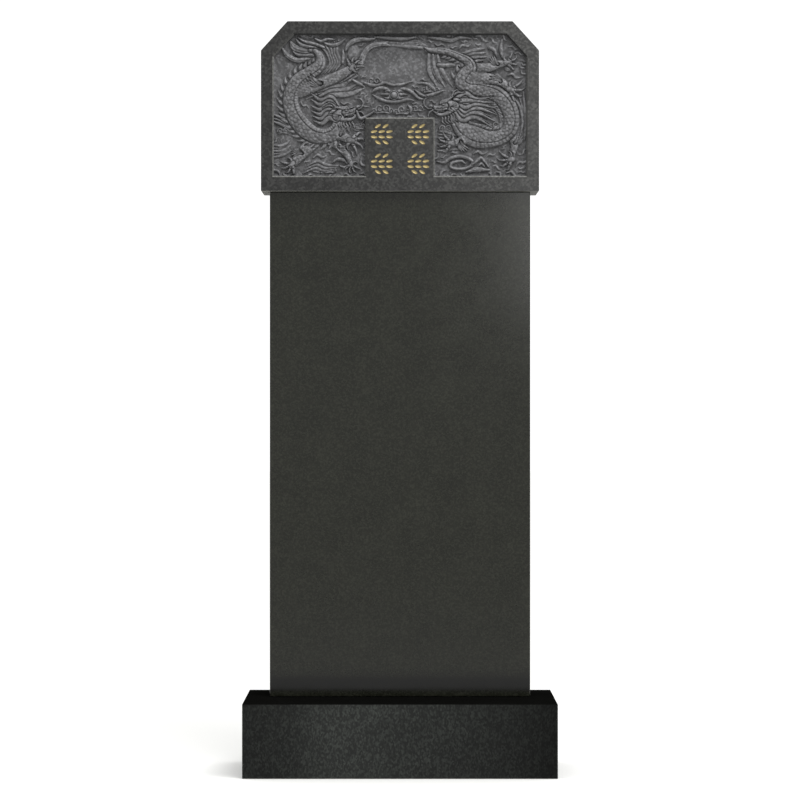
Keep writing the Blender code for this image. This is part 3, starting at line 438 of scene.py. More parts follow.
    def foot(self, pad: Stamp) -> None:
        """Carve a foot of four hooked toes and a thumb.

        Args:
            pad: Where it is and points.
        """
        for a in np.radians(np.linspace(-52, 52, 4)):
            c, s = math.cos(a), math.sin(a)
            toe = [(0.1 * c, 0.1 * s), (0.42 * c, 0.42 * s + 0.06), (0.66 * c, 0.66 * s + 0.02)]
            claw = [(0.6 * c, 0.6 * s + 0.04), (0.9 * c, 0.9 * s + 0.02), (1.1 * c + 0.02, 1.1 * s - 0.18)]
            self.lay(pad.place(toe), pad.size * np.array([0.15, 0.14, 0.13]), 4, 10.5, power=0.6)
            self.lay(pad.place(claw), pad.size * np.array([0.11, 0.08, 0.02]), 3.5, (10.0, 5.5), power=0.6)
        thumb = pad.place([(0, -0.1), (-0.2, -0.42), (-0.08, -0.76)])
        self.lay(thumb, pad.size * np.array([0.15, 0.1, 0.02]), 4, 10, power=0.6)
        self.lay(pad.place([(-0.12, 0), (0.16, 0)]), pad.size * np.array([0.25, 0.2]), 5, 11.2, trench=0)

    def leg(self, limb: Leg) -> None:
        """Carve a limb, its flame of hair and its foot.

        Args:
            limb: The limb's pose.
        """
        self.lay(limb.points, limb.radii, 4.5, (9.0, 13.0, 12.0, 11.0), trench=2, over=False, rooted=36,
                 detail=self.scales(6.5, 2.2, 2, 6))
        joint, heading, size, turn = limb.hair
        self.hair(Stamp(limb.points[joint], heading, size, turn), 5, 58, low=5)
        self.foot(Stamp(limb.points[-1], limb.foot[0], limb.foot[1], limb.turn))

    def head(self, face: Stamp) -> None:
        """Carve a dragon's head in profile.

        Args:
            face: Where it is, which way it looks and how long it is.
        """
        def lay(points: Points, radii: Sequence[float], low: float, high: float, **more: object) -> None:
            """Carve a ribbon drawn on the unit head."""
            self.lay(face.place(points), face.size * np.array(radii), low, high, **more)

        def dome(at: tuple[float, float], radius: float, low: float, high: float, **more: object) -> None:
            """Carve a dome drawn on the unit head."""
            self.dome(face.place([at])[0], face.size * radius, low, high, **more)

        # Horns and ear
        lay([(0.18, 0.2), (0, 0.4), (-0.26, 0.52), (-0.56, 0.48)], [0.06, 0.055, 0.045, 0.012], 6, 12)
        lay([(-0.04, 0.44), (-0.14, 0.58), (-0.3, 0.66)], [0.04, 0.034, 0.01], 6, 11)
        lay([(0, 0.16), (-0.16, 0.25), (-0.36, 0.2)], [0.035, 0.08, 0.01], 6, 11.5)
        # Beard
        for x in (0.1, 0.22, 0.34, 0.46, 0.58):
            lock = [(x, -0.2), (x - 0.1, -0.36), (x - 0.06, -0.5), (x - 0.2, -0.66)]
            lay(lock, [0.04, 0.04, 0.032, 0.006], 3, (8.5, 4.0), trench=1)
        # Lower jaw and tongue
        lay([(0.02, -0.1), (0.26, -0.2), (0.52, -0.23), (0.7, -0.13), (0.75, -0.05)],
            [0.1, 0.085, 0.065, 0.05, 0.02], 5, 11, trench=1.6)
        lay([(0.38, -0.1), (0.58, -0.1), (0.72, -0.01), (0.86, -0.03)], [0.035, 0.03, 0.025, 0.01],
            4.5, 8.5, trench=0.8)
        # Skull, cheek and cheek hair
        lay([(-0.05, 0.02), (0.14, 0.08), (0.34, 0.1)], [0.19, 0.2, 0.15], 6, 12.5, trench=2)
        dome((0.08, -0.07), 0.13, 8, 12.8, trench=0, over=False)
        for a in np.radians((150, 176, 202, 228)):
            c, s = math.cos(a), math.sin(a)
            lock = [(0.06, -0.04), (0.06 + 0.14 * c, 0.14 * s - 0.04), (0.06 + 0.27 * c, 0.27 * s + 0.02)]
            lay(lock, [0.05, 0.045, 0.008], 7, (12.5, 8.0), trench=0.8, deep=0.25)
        # Snout, lip, nose and its wrinkles
        lay([(0.3, 0.08), (0.55, 0.05), (0.78, 0.11)], [0.135, 0.095, 0.09], 6.5, 12.2, trench=1.5)
        lay([(0.26, -0.03), (0.5, -0.045), (0.72, 0.02), (0.9, 0.07)], [0.034, 0.034, 0.034, 0.02],
            8, 12.5, deep=0.3)
        dome((0.87, 0.16), 0.09, 8, 13.2, trench=1.2)
        dome((0.9, 0.16), 0.03, 9.5, 8.5, trench=0)
        for x in (0.46, 0.56, 0.66):
            fold = [(x, 0.14), (x + 0.04, 0.08), (x + 0.02, 0.02)]
            lay(fold, [0.012, 0.02, 0.012], 10, 13, trench=0.8, deep=0.12)
        # Fangs
        for x, foot, up in ((0.8, 0.03, -1), (0.62, 0.03, -1), (0.46, 0.03, -1), (0.66, -0.16, 1)):
            fang = [(x, foot), (x - 0.01, foot + 0.07 * up), (x - 0.03, foot + 0.12 * up)]
            lay(fang, [0.026, 0.022, 0.005], 7, 10.5, trench=0.6, deep=0.3)
        # Eye and brow
        dome((0.36, 0.16), 0.085, 9, 12.2, trench=1, deep=0.15)
        dome((0.37, 0.155), 0.058, 9.5, 13.6, trench=0.8, deep=0.3)
        for k in range(4):
            tip = [(0.46 - 0.07 * k, 0.21 + 0.01 * k), (0.4 - 0.1 * k, 0.3 + 0.01 * k),
                   (0.27 - 0.12 * k, 0.35 + 0.02 * k)]
            lay(tip, [0.045, 0.038, 0.008], 8.5, (12.8, 9.5), trench=0.8, deep=0.3)
        # Whiskers
        for whisker in ([(0.84, 0.08), (1, 0.12), (1.12, 0.3), (1.04, 0.5), (0.84, 0.56)],
                        [(0.8, 0.02), (0.98, -0.08), (1.04, -0.3), (0.9, -0.48), (0.72, -0.54)]):
            lay(whisker, [0.032, 0.029, 0.025, 0.02, 0.006], 3, (11.0, 5.0))

    def dragon(self, beast: Dragon) -> None:
        """Carve one dragon from its tail to its head.

        Args:
            beast: The dragon's pose.
        """
        if beast.hair:
            self.locks(beast.hair, 4, (3.5, 4.5, 4, 0.6), 2, 8)
        for limb in beast.behind:
            self.leg(limb)
        self.fins(beast.body, beast.radii, 12, 17)
        self.lay(beast.body, beast.radii, 4, 11.2, trench=2.2, deep=0.75,
                 detail=self.scales(8.5, 3.0, 0.42, 40))
        for limb in beast.before:
            self.leg(limb)
        self.locks(beast.mane, beast.strands, (5.2, 5.4, 4.4, 0.6), 5, 10.5)
        self.head(beast.head)

    def scroll(self, at: np.ndarray, size: float, start: float, turn: int, low: float, high: float) -> None:
        """Wind one curl of a cloud on a low disc.

        Args:
            at: Its middle.
            size: Its outer radius.
            start: Angle at which the ridge starts.
            turn: Which way it winds.
            low: Height of the disc.
            high: Height of the ridge.
        """
        t = np.linspace(0, 1, 14)
        reach, angle = size * (1 - 0.8 * t), math.radians(start) + turn * 2.5 * math.pi * t
        self.dome(at, 1.05 * size, low - 1, low + 0.6, trench=1.4, deep=0.6)
        ridge = np.column_stack([at[0] + reach * np.cos(angle), at[1] + reach * np.sin(angle)])
        self.lay(ridge, 0.2 * size * (1.05 - 0.45 * t), low - 0.4, high, trench=0.9, deep=0.25, over=False)

    def cloud(self, at: tuple[float, float], size: float, flip: int, lobes: int, tail: float,
              low: float = 1.8, high: float = 6.0) -> None:
        """Carve a cloud of curls side by side, with a streaming tail and a keel under them.

        Args:
            at: Its middle.
            size: Scale of its curls.
            flip: 1 for a tail to the left, -1 for one to the right.
            lobes: Number of curls, from 2 to 4.
            tail: Length of the tail over size.
            low: Height of the discs.
            high: Height of the ridges.
        """
        stamp = Stamp(at, 0, size)
        for drop, rise, share in ((-0.35, -0.5, 1.0), (-0.1, -0.22, 0.82)):
            line = [(-0.4, drop), (-0.45 * tail, rise), (-0.75 * tail, rise + 0.22),
                    (-tail * share, rise + 0.1)]
            radii = size * share * np.array([0.26, 0.2, 0.13, 0.02])
            self.lay(stamp.place(np.array(line) * (flip, 1)), radii, low - 1, (high - 1, low + 0.2),
                     deep=0.5)
        curls = {2: ((-0.55, -0.1, 0.55, 200, -1), (0.45, -0.15, 0.6, -20, 1)),
                 3: ((-0.85, -0.25, 0.5, 200, -1), (0.85, -0.25, 0.5, -20, 1), (0, 0.12, 0.72, 250, 1)),
                 4: ((-1.3, -0.3, 0.42, 200, -1), (1.25, -0.3, 0.42, -20, 1), (-0.5, 0.05, 0.6, 210, -1),
                     (0.5, 0.1, 0.62, -30, 1))}
        for dx, dz, radius, start, turn in curls[lobes]:
            spot = stamp.place([(dx * flip, dz)])[0]
            self.scroll(spot, radius * size, start if flip > 0 else 180 - start, turn * flip, low, high)
        keel = stamp.place([(-1, -0.62), (0, -0.48), (1, -0.62)])
        self.lay(keel, size * np.array([0.08, 0.16, 0.08]), low - 1, high - 1, trench=1, deep=0.4)

    def free(self, at: np.ndarray, reach: float) -> bool:
        """Tell whether the ground is bare around a point."""
        near = self.rise[self.window(at - reach, at + reach)]
        return near.size > 0 and near.max() < self.BARE_HEIGHT

    def wisps(self, length: float, radius: float, high: float, plain: Callable, seed: int) -> None:
        """Fill bare ground with thin wisps of cloud that swim in slow swirls.

        Args:
            length: Length of a wisp.
            radius: Its half width.
            high: Its height.
            plain: Tells whether a point belongs to what stays bare.
            seed: Starts the scatter.
        """
        scatter = np.random.default_rng(seed)
        for z in np.arange(radius, self.z.max(), 1.7 * radius):
            for x in np.arange(self.low[0] + radius, -self.low[0], 0.3 * length):
                at = np.array([x, z]) + scatter.uniform(-0.5, 0.5, 2) * (0.3 * length, radius)
                heading = 42 * math.sin(at[0] / 41 + at[1] / 63) + 30 * math.cos(at[1] / 29 - at[0] / 87)
                shape = [(-0.5, -0.12), (-0.2, 0.1), (0.15, -0.05), (0.5, 0.14)]
                line = Stamp(tuple(at), heading, length, scatter.choice((-1, 1))).place(shape)
                if not plain(at) and all(self.free(point, 1.35 * radius) for point in line):
                    self.lay(line, radius * np.array([0.3, 1, 0.9, 0.1]), 1.2, (high, high, 1.8), trench=0.8)

    def streamer(self, points: Points, radii: Sequence[float], low: float = 1.8, high: float = 7.0) -> None:
        """Carve a long band with fine lines along it.

        Args:
            points: Its middle line.
            radii: Its half widths along that line.
            low: Height at its edge.
            high: Height at its crown.
        """
        def lines(share: np.ndarray, side: np.ndarray, _: np.ndarray, radius: np.ndarray,
                  __: float) -> np.ndarray:
            """Give the heights that the lines add."""
            fade = np.clip(radius / 5, 0, 1) * np.clip((1 - share) / 0.3, 0, 1)
            return 0.9 * fade * np.cos(2.5 * math.pi * share * side)
        self.lay(points, radii, low, high, trench=1.8, deep=0.65, detail=lines)


def pearl(art: Carving, at: tuple[float, float], radius: float) -> None:
    """Carve the pearl among its flames, inside open arcs of cloud.

    Args:
        art: The field it is carved in.
        at: Its middle.
        radius: Its radius.
    """
    x, z = at
    arcs = (([(-52, 6), (-42, 14), (-26, 17), (-12, 11), (-16, 5)], (1, 3.5, 4, 3.5, 1.5)),
            ([(8, 9), (22, 15), (40, 8), (56, -6), (70, -10)], (1.5, 3.5, 4, 3.5, 1)),
            ([(-50, 2), (-36, -7), (-16, -14), (8, -15), (30, -10), (46, -12)], (1, 3.5, 4, 4, 3.5, 1)))
    for points, radii in arcs:
        art.lay([(x + dx, z + dz) for dx, dz in points], radii, 2.5, 8)
    for turn in (-1, 1):
        for reach, lift in ((22, 8), (32, 2), (24, -5)):
            flame = [(x + turn * 6, z + 0.6 * lift), (x + turn * 0.6 * reach, z + 1.3 * lift),
                     (x + turn * reach, z + lift)]
            art.lay(flame, (4, 3.4, 0.5), 2.5, (8.0, 4.0))
    art.dome(at, radius * 1.4, 6, 8, trench=1.2)
    art.dome(at, radius, 5, 12, trench=1)


# Clouds: middle, size, side of the tail, curls and length of the tail
BACKDROP_CLOUDS = (
    ((-40, 155), 15, 1, 4, 2.0), ((4, 152), 14, -1, 3, 2.2), ((70, 203), 15, -1, 3, 2.4),
    ((-60, 219), 13, 1, 4, 3.0), ((-92, 116), 12, 1, 2, 1.4), ((104, 112), 13, -1, 2, 2.0),
    ((-168, 17), 15, 1, 3, 3.2), ((40, 158), 12, -1, 2, 1.8), ((-270, 106), 12, 1, 2, 1.4),
    ((228, 120), 12, 1, 2, 2.2),
)

# Low bosses: middle, half width, and height over width
BOSSES = (((-107, 284), 15, 1.25), ((-176, 140), 15, 1.3), ((-100, 110), 9, 0.7),
          ((250, 250), 10, 0.8), ((104, 232), 10, 0.8))

# Sheaves of strands: guides, strands, half widths, height at the edge and at the root
TRESSES = (
    (([(-182, 300), (-166, 280), (-162, 258), (-182, 236)],
      [(-142, 314), (-146, 290), (-138, 264), (-150, 242)]), 5, (2, 3.6, 3.6, 1), 1.5, 6),
    (([(-112, 250), (-142, 228), (-172, 216), (-214, 206)],
      [(-98, 232), (-132, 212), (-168, 200), (-218, 178)]), 4, (2, 4.2, 4.2, 1), 2, 8),
    (([(132, 198), (160, 190), (196, 182), (224, 162)],
      [(140, 184), (166, 176), (196, 166), (222, 146)]), 3, (2, 4, 4, 1), 1.5, 6),
    (([(262, 184), (276, 160), (283, 128), (276, 88)],
      [(284, 196), (288, 160), (290, 128), (288, 84)]), 2, (1, 3.5, 3.5, 1), 1.5, 5),
    (([(66, 282), (66, 256), (70, 236), (86, 206)],
      [(86, 282), (92, 256), (104, 232), (122, 206)]), 3, (3, 5, 5, 1), 1.5, 8),
    (([(-190, 196), (-160, 206), (-138, 208), (-122, 220)],
      [(-184, 172), (-160, 186), (-116, 190), (-80, 205)]), 3, (3, 6, 6, 1), 2, 8),
    (([(-224, 6), (-196, 18), (-176, 12), (-150, 16)],
      [(-214, 24), (-190, 34), (-170, 26), (-142, 24)]), 3, (1, 3.6, 3.6, 1), 1.5, 6),
    (([(-292, 44), (-276, 47), (-262, 52), (-250, 60)],
      [(-292, 72), (-274, 70), (-262, 76), (-254, 84)]), 3, (2, 3.6, 3, 1), 1.5, 5),
    (([(-292, 126), (-276, 120), (-262, 112), (-252, 98)],
      [(-292, 142), (-276, 136), (-264, 128), (-254, 116)]), 2, (2, 3.6, 3, 1), 1.5, 6),
    (([(114, 292), (140, 282), (168, 290), (196, 296)],
      [(116, 276), (142, 264), (170, 274), (200, 276)]), 3, (2, 4.5, 5, 1), 2, 9),
    (([(88, 104), (104, 102), (118, 98), (132, 92)],
      [(86, 58), (106, 60), (120, 62), (138, 62)]), 4, (1, 3.4, 3.4, 1), 1.2, 5),
)

# Bands: middle line, half widths and height
BANDS = (
    ([(50, 306), (10, 304), (-26, 306), (-54, 304), (-73, 296), (-84, 280), (-92, 262), (-110, 246)],
     (3, 4.5, 5, 6, 6.5, 7, 8, 8), 9),
    ([(-126, 290), (-119, 304), (-106, 313), (-88, 317), (-70, 316), (-54, 322)], (2, 5, 6, 5, 4, 2), 8),
    ([(-60, 322), (-24, 319), (12, 318), (36, 322)], (2, 4, 4, 2), 6),
    ([(-132, 292), (-131, 276), (-133, 262)], (2, 3.8, 3), 8),
    ([(-198, 268), (-214, 270), (-238, 268), (-256, 276), (-267, 288), (-273, 300)], (5, 6, 6, 6, 4, 1), 9),
    ([(-202, 280), (-220, 280), (-236, 281), (-247, 289)], (5, 4, 4, 1), 9),
    ([(-204, 290), (-224, 291), (-244, 298), (-252, 310)], (5, 8, 8, 3), 6),
    ([(-196, 297), (-214, 300), (-230, 305), (-241, 318)], (4, 4, 4, 1), 8),
    ([(-176, 298), (-198, 306), (-220, 311), (-236, 321)], (3, 4, 3.5, 1), 8),
    ([(-176, 309), (-160, 303), (-142, 306), (-126, 318)], (2, 4, 4, 1), 8),
    ([(-196, 318), (-182, 312), (-168, 317), (-150, 316)], (2, 3.5, 3.5, 1), 8),
    ([(-208, 291), (-197, 288), (-190, 277), (-197, 262)], (4, 5, 5, 2), 11),
    ([(-108, 222), (-95, 214), (-82, 207)], (3, 4, 1), 7),
    ([(-82, 216), (-66, 211), (-50, 210), (-36, 216), (-18, 211), (6, 213), (30, 220)],
     (2, 4, 4, 3.5, 3, 3, 1), 6),
    ([(-114, 158), (-94, 162), (-72, 160)], (1, 3, 1), 5),
    ([(-158, 30), (-144, 39), (-128, 36), (-119, 27), (-128, 20), (-140, 24)], (1, 4, 4, 3.5, 3, 1), 8),
    ([(42, 314), (51, 302), (62, 288)], (2, 3.8, 2), 8),
    ([(164, 260), (178, 266), (192, 268)], (3, 4, 1), 9),
    ([(206, 298), (217, 292), (223, 276)], (4, 4.5, 1), 7),
    ([(64, 321), (92, 318), (118, 314), (140, 321), (166, 318)], (2, 4, 5, 4, 1), 6),
    ([(88, 257), (106, 256), (126, 258)], (4, 5, 4), 8),
    ([(236, 318), (233, 300), (234, 284), (240, 268)], (1, 4, 4, 1), 6),
    ([(40, 215), (60, 214), (76, 204), (84, 192)], (1, 3.5, 4, 1), 6),
    ([(50, 184), (74, 189), (100, 198)], (1, 4, 1), 7), ([(34, 200), (46, 190), (60, 184)], (1, 3.5, 1), 7),
    ([(18, 164), (25, 156), (24, 144)], (1, 4, 1), 7),
    ([(84, 34), (102, 31), (114, 40), (134, 46), (154, 42), (168, 32), (158, 20), (136, 16), (118, 20),
      (120, 30), (140, 35), (150, 29)], (1, 3.6, 3.8, 4, 4, 3.8, 3.8, 3.6, 3.6, 3.4, 3, 2), 8),
    ([(166, 26), (176, 34), (186, 42), (194, 35), (204, 21)], (1, 3.5, 3.5, 3, 1), 7),
    ([(180, 22), (188, 29), (196, 20)], (1, 3, 1), 6), ([(152, 9), (176, 15), (206, 14)], (2, 6, 2), 7),
)

# The left dragon's long whisker, laid over all else: middle line and half widths
LONG_WHISKER = ([(-100, 150), (-92, 134), (-76, 139), (-60, 150)], (3, 4, 3.5, 1))

# Pearl
PEARL_PLACE = (-14, 187)
PEARL_RADIUS = 8


@dataclass(frozen=True)
class ReliefDesign:
    """The drawing of the sunk field, in millimetres, and how finely it is carved.

    Each row of wisps gives the length, half width and height of one size. The oval, plaque, corner and tail
    sizes bound the ground that no wisp fills.
    """

    width: float = 582
    height: float = 326
    depth: float = 14
    pitch: float = 1.0
    softening: float = 0.5
    wisps: tuple[tuple[float, float, float], ...] = ((34, 3.2, 5.0), (24, 2.5, 4.2), (16, 2.0, 3.6))
    oval_middle: tuple[float, float] = (-8, 254)
    oval_half: tuple[float, float] = (84, 46)
    plaque_half: float = 79
    plaque_top: float = 137
    corner_start: tuple[float, float] = (240, 276)
    corner_run: tuple[float, float] = (51, 50)
    corner_limit: float = 0.92
    tail_edge: float = -240
    tail_span: tuple[float, float] = (215, 290)

    def stays_plain(self, at: np.ndarray) -> bool:
        """Tell whether a place keeps its bare ground: the oval, the plaque, the corners and by the tail.

        Args:
            at: The place.

        Returns:
            Whether no wisp goes there.
        """
        x, z = at
        oval = math.hypot((x - self.oval_middle[0]) / self.oval_half[0],
                          (z - self.oval_middle[1]) / self.oval_half[1]) < 1
        plaque = abs(x) < self.plaque_half and z < self.plaque_top
        corner = ((abs(x) - self.corner_start[0]) / self.corner_run[0]
                  + (z - self.corner_start[1]) / self.corner_run[1]) > self.corner_limit
        tail = x < self.tail_edge and self.tail_span[0] < z < self.tail_span[1]
        return oval or plaque or corner or tail

    def carve(self) -> Carving:
        """Carve the whole field, from its low bosses to the whisker laid over the dragons.

        Returns:
            The carved field.
        """
        art = Carving(self.width, self.height, self.pitch)
        for at, radius, squash in BOSSES:
            art.dome(at, radius, 1, 5, squash=squash, trench=1.6)
        for cloud in BACKDROP_CLOUDS:
            art.cloud(*cloud)
        for tress in TRESSES:
            art.locks(*tress)
        for points, radii, high in BANDS:
            art.streamer(points, radii, high=high)
        pearl(art, PEARL_PLACE, PEARL_RADIUS)
        art.dragon(LEFT_DRAGON)
        art.dragon(RIGHT_DRAGON)
        art.lay(*LONG_WHISKER, 3, 11)
        for seed, (length, radius, high) in enumerate(self.wisps):
            art.wisps(length, radius, high, self.stays_plain, seed)
        art.soften(self.softening)
        return art


def linear(colour: str) -> tuple[float, float, float, float]:
    """Turn an sRGB hex colour to linear red, green, blue and alpha."""
    shares = [int(colour[i:i + 2], 16) / 255 for i in (1, 3, 5)]
    return (*(s / 12.92 if s <= 0.04045 else ((s + 0.055) / 1.055) ** 2.4 for s in shares), 1)


def add_node(tree: bpy.types.NodeTree, kind: str, inputs: dict | None = None,
             **settings: object) -> bpy.types.Node:
    """Add a shader node.

    Args:
        tree: The tree it goes in.
        kind: Its type.
        inputs: Value or linked socket for each of its inputs, by name or number.
        settings: Its own properties.

    Returns:
        The node.
    """
    node = tree.nodes.new(kind)
    for name, value in settings.items():
        setattr(node, name, value)
    for key, value in (inputs or {}).items():
        if isinstance(value, bpy.types.NodeSocket):
            tree.links.new(value, node.inputs[key])
        else:
            node.inputs[key].default_value = value
    return node


class Working(Enum):
    """How a stone's surface was worked."""

    POLISHED = "polished"
    SAWN = "sawn"
    CARVED = "carved"
    HAMMERED = "hammered"


@dataclass(frozen=True)
class PaintedLightRamp:
    """Painted light and shade: a slow change of tone over a stone, standing in for how the light falls across
    it.

    It runs along way from start to end, in metres, and tones gives the factor at shares of that run.
    """

    way: tuple[float, float, float]
    start: float
    end: float
    tones: tuple[tuple[float, float], ...]

    def tone(self, tree: bpy.types.NodeTree, place: bpy.types.NodeSocket) -> bpy.types.NodeSocket:
        """Work out the tone at a place.

        Args:
            tree: The material's nodes.
            place: Object coordinates.

        Returns:
            The factor that the colour is multiplied by.
        """
        along = add_node(tree, "ShaderNodeVectorMath", {0: place, 1: self.way}, operation="DOT_PRODUCT")
        share = add_node(tree, "ShaderNodeMapRange", {"Value": along.outputs["Value"], "From Min": self.start,
                                                      "From Max": self.end, "To Min": 0.0, "To Max": 1.0})
        ramp = add_node(tree, "ShaderNodeFloatCurve", {"Value": share.outputs["Result"]})
        line = ramp.mapping.curves[0]
        line.points[0].location, line.points[1].location = self.tones[0], self.tones[-1]
        for spot in self.tones[1:-1]:
            line.points.new(*spot)
        return ramp.outputs["Value"]


@dataclass(frozen=True)
class Granite:
    """A dark granite finish.

    The grain is drawn coarser than the real 1 to 2 mm crystals, because those are too fine to show. It runs
    from the ground's colour by grain_share towards the crystals', and is stretch times as tall as wide. The
    tone wanders by mottle over mottle_mm, and by a painted light and shade with the way that a face looks.
    tooth_mm is the height of the fine tooth. BARE_SHARE of the grains keep the ground's colour, the painted
    light falls from a way up and to the right, and the saw leaves a line every SAW_LINE_MM.
    """

    BARE_SHARE = 0.35
    ROUGHNESS_SPREAD = 0.15
    RUB_AND_SHADE_SPREAD = 0.35
    PAINTED_LIGHT_WAY = (0.45, 0, 0.9)
    SAW_LINE_MM = 9

    name: str
    working: Working
    ground: str
    crystal: str
    roughness: float
    specular: float
    grain_mm: float = 3.0
    grain_share: float = 0.5
    mottle_mm: float = 60.0
    mottle: float = 0.1
    tooth_mm: float = 0.0
    stretch: float = 1.0
    painted_facing_light: float = 0.0
    painted_ramp: PaintedLightRamp | None = None

    def material(self) -> bpy.types.Material:
        """Build the finish as a node material, once.

        Returns:
            The material, built before or now.
        """
        if self.name in bpy.data.materials:
            return bpy.data.materials[self.name]
        material = bpy.data.materials.new(self.name)
        material.use_nodes = True
        tree = material.node_tree
        shader = tree.nodes["Principled BSDF"]
        shader.inputs["Metallic"].default_value = 0
        shader.inputs["Specular IOR Level"].default_value = self.specular
        place = add_node(tree, "ShaderNodeTexCoord").outputs["Object"]
        colour = self.stone_colour(tree, place)
        # Rubbed crowns and dirty hollows, with a painted highlight on the crowns and painted shade in the
        # hollows
        if self.working is Working.CARVED:
            colour = self.rubbed_and_shaded(tree, colour)
        # Painted light and shade by the way that a face looks
        if self.painted_facing_light:
            colour = self.scaled(tree, colour, self.facing_light_tone(tree))
        # Painted light and shade that runs across the stone
        if self.painted_ramp:
            colour = self.scaled(tree, colour, self.painted_ramp.tone(tree, place))
        tree.links.new(colour, shader.inputs["Base Color"])
        smear = add_node(tree, "ShaderNodeTexNoise", {"Vector": place, "Scale": 1 / (self.mottle_mm * MM),
                                                      "Detail": 3})
        least, most = 1 - self.ROUGHNESS_SPREAD, 1 + self.ROUGHNESS_SPREAD
        rough = add_node(tree, "ShaderNodeMapRange", {"Value": smear.outputs["Fac"], "From Min": NOISE_LOW,
                                                      "From Max": NOISE_HIGH,
                                                      "To Min": least * self.roughness,
                                                      "To Max": most * self.roughness})
        tree.links.new(rough.outputs["Result"], shader.inputs["Roughness"])
        if self.tooth_mm:
            tree.links.new(self.tooth(tree, place), shader.inputs["Normal"])
        return material

    def stone_colour(self, tree: bpy.types.NodeTree, place: bpy.types.NodeSocket) -> bpy.types.NodeSocket:
        """Mix ground and crystals, and let the tone wander.

        Args:
            tree: The material's nodes.
            place: Object coordinates.

        Returns:
            The stone's colour.
        """
        grain = add_node(tree, "ShaderNodeTexVoronoi", {"Vector": self.stretched(tree, place),
                                                        "Scale": 1 / (self.grain_mm * MM)})
        tint = add_node(tree, "ShaderNodeSeparateColor", {"Color": grain.outputs["Color"]})
        share = add_node(tree, "ShaderNodeMapRange", {"Value": tint.outputs["Red"],
                                                      "From Min": self.BARE_SHARE, "From Max": 1.0,
                                                      "To Min": 0.0, "To Max": self.grain_share})
        mixed = add_node(tree, "ShaderNodeMix", {"Factor": share.outputs["Result"]}, data_type="RGBA")
        for socket, shade in zip([s for s in mixed.inputs if s.type == "RGBA"], (self.ground, self.crystal)):
            socket.default_value = linear(shade)
        cloudy = add_node(tree, "ShaderNodeTexNoise", {"Vector": place, "Scale": 1 / (self.mottle_mm * MM),
                                                       "Detail": 4, "Roughness": 0.6})
        tone = add_node(tree, "ShaderNodeMapRange", {"Value": cloudy.outputs["Fac"], "From Min": NOISE_LOW,
                                                     "From Max": NOISE_HIGH, "To Min": 1 - self.mottle,
                                                     "To Max": 1 + self.mottle})
        stone = [s for s in mixed.outputs if s.type == "RGBA"][0]
        return self.scaled(tree, stone, tone.outputs["Result"])

    def stretched(self, tree: bpy.types.NodeTree, place: bpy.types.NodeSocket) -> bpy.types.NodeSocket:
        """Give coordinates in which the grain is taller than wide."""
        mapping = add_node(tree, "ShaderNodeMapping", {"Vector": place, "Scale": (1, 1, 1 / self.stretch)})
        return mapping.outputs["Vector"]

    def scaled(self, tree: bpy.types.NodeTree, colour: bpy.types.NodeSocket,
               tone: bpy.types.NodeSocket) -> bpy.types.NodeSocket:
        """Make a colour lighter or darker by a factor."""
        mixed = add_node(tree, "ShaderNodeVectorMath", {0: colour, "Scale": tone}, operation="SCALE")
        return mixed.outputs["Vector"]

    def rubbed_and_shaded(self, tree: bpy.types.NodeTree, colour: bpy.types.NodeSocket) -> bpy.types.NodeSocket:
        """Lighten crowns that the grit has rubbed and darken hollows that hold dirt, with a painted highlight
        on the crowns and painted shade in the hollows.

        Args:
            tree: The material's nodes.
            colour: The stone's colour.

        Returns:
            The colour as worn.
        """
        rub_and_shade = add_node(tree, "ShaderNodeAttribute", attribute_name=CapStone.RUB_AND_SHADE)
        tone = add_node(tree, "ShaderNodeMapRange", {"Value": rub_and_shade.outputs["Fac"], "From Min": 0.0,
                                                     "From Max": 1.0, "To Min": 1 - self.RUB_AND_SHADE_SPREAD,
                                                     "To Max": 1 + self.RUB_AND_SHADE_SPREAD})
        return self.scaled(tree, colour, tone.outputs["Result"])

    def facing_light_tone(self, tree: bpy.types.NodeTree) -> bpy.types.NodeSocket:
        """Paint light on what faces up and to the right, and paint shade on what faces away.

        Args:
            tree: The material's nodes.

        Returns:
            The factor that the colour is multiplied by.
        """
        normal = add_node(tree, "ShaderNodeNewGeometry").outputs["Normal"]
        facing = add_node(tree, "ShaderNodeVectorMath", {0: normal, 1: self.PAINTED_LIGHT_WAY},
                          operation="DOT_PRODUCT")
        tone = add_node(tree, "ShaderNodeMapRange", {"Value": facing.outputs["Value"], "From Min": -1.0,
                                                     "From Max": 1.0, "To Min": 1 - self.painted_facing_light,
                                                     "To Max": 1 + self.painted_facing_light})
        return tone.outputs["Result"]

    def tooth(self, tree: bpy.types.NodeTree, place: bpy.types.NodeSocket) -> bpy.types.NodeSocket:
        """Give the surface its fine tooth: level saw lines on a sawn face, elsewhere a grit.

        Args:
            tree: The material's nodes.
            place: Object coordinates.

        Returns:
            The bumped normal.
        """
        if self.working is Working.SAWN:
            fineness = math.pi / (10 * self.SAW_LINE_MM * MM)
            grit = add_node(tree, "ShaderNodeTexWave", {"Vector": place, "Scale": fineness,
                                                        "Distortion": 2.5, "Detail": 3, "Detail Scale": 0.3},
                            bands_direction="Z")
        else:
            grit = add_node(tree, "ShaderNodeTexNoise", {"Vector": self.stretched(tree, place),
                                                         "Scale": 1 / (self.grain_mm * MM), "Detail": 3})
        bump = add_node(tree, "ShaderNodeBump", {"Height": grit.outputs["Fac"],
                                                 "Distance": self.tooth_mm * MM})
        return bump.outputs["Normal"]


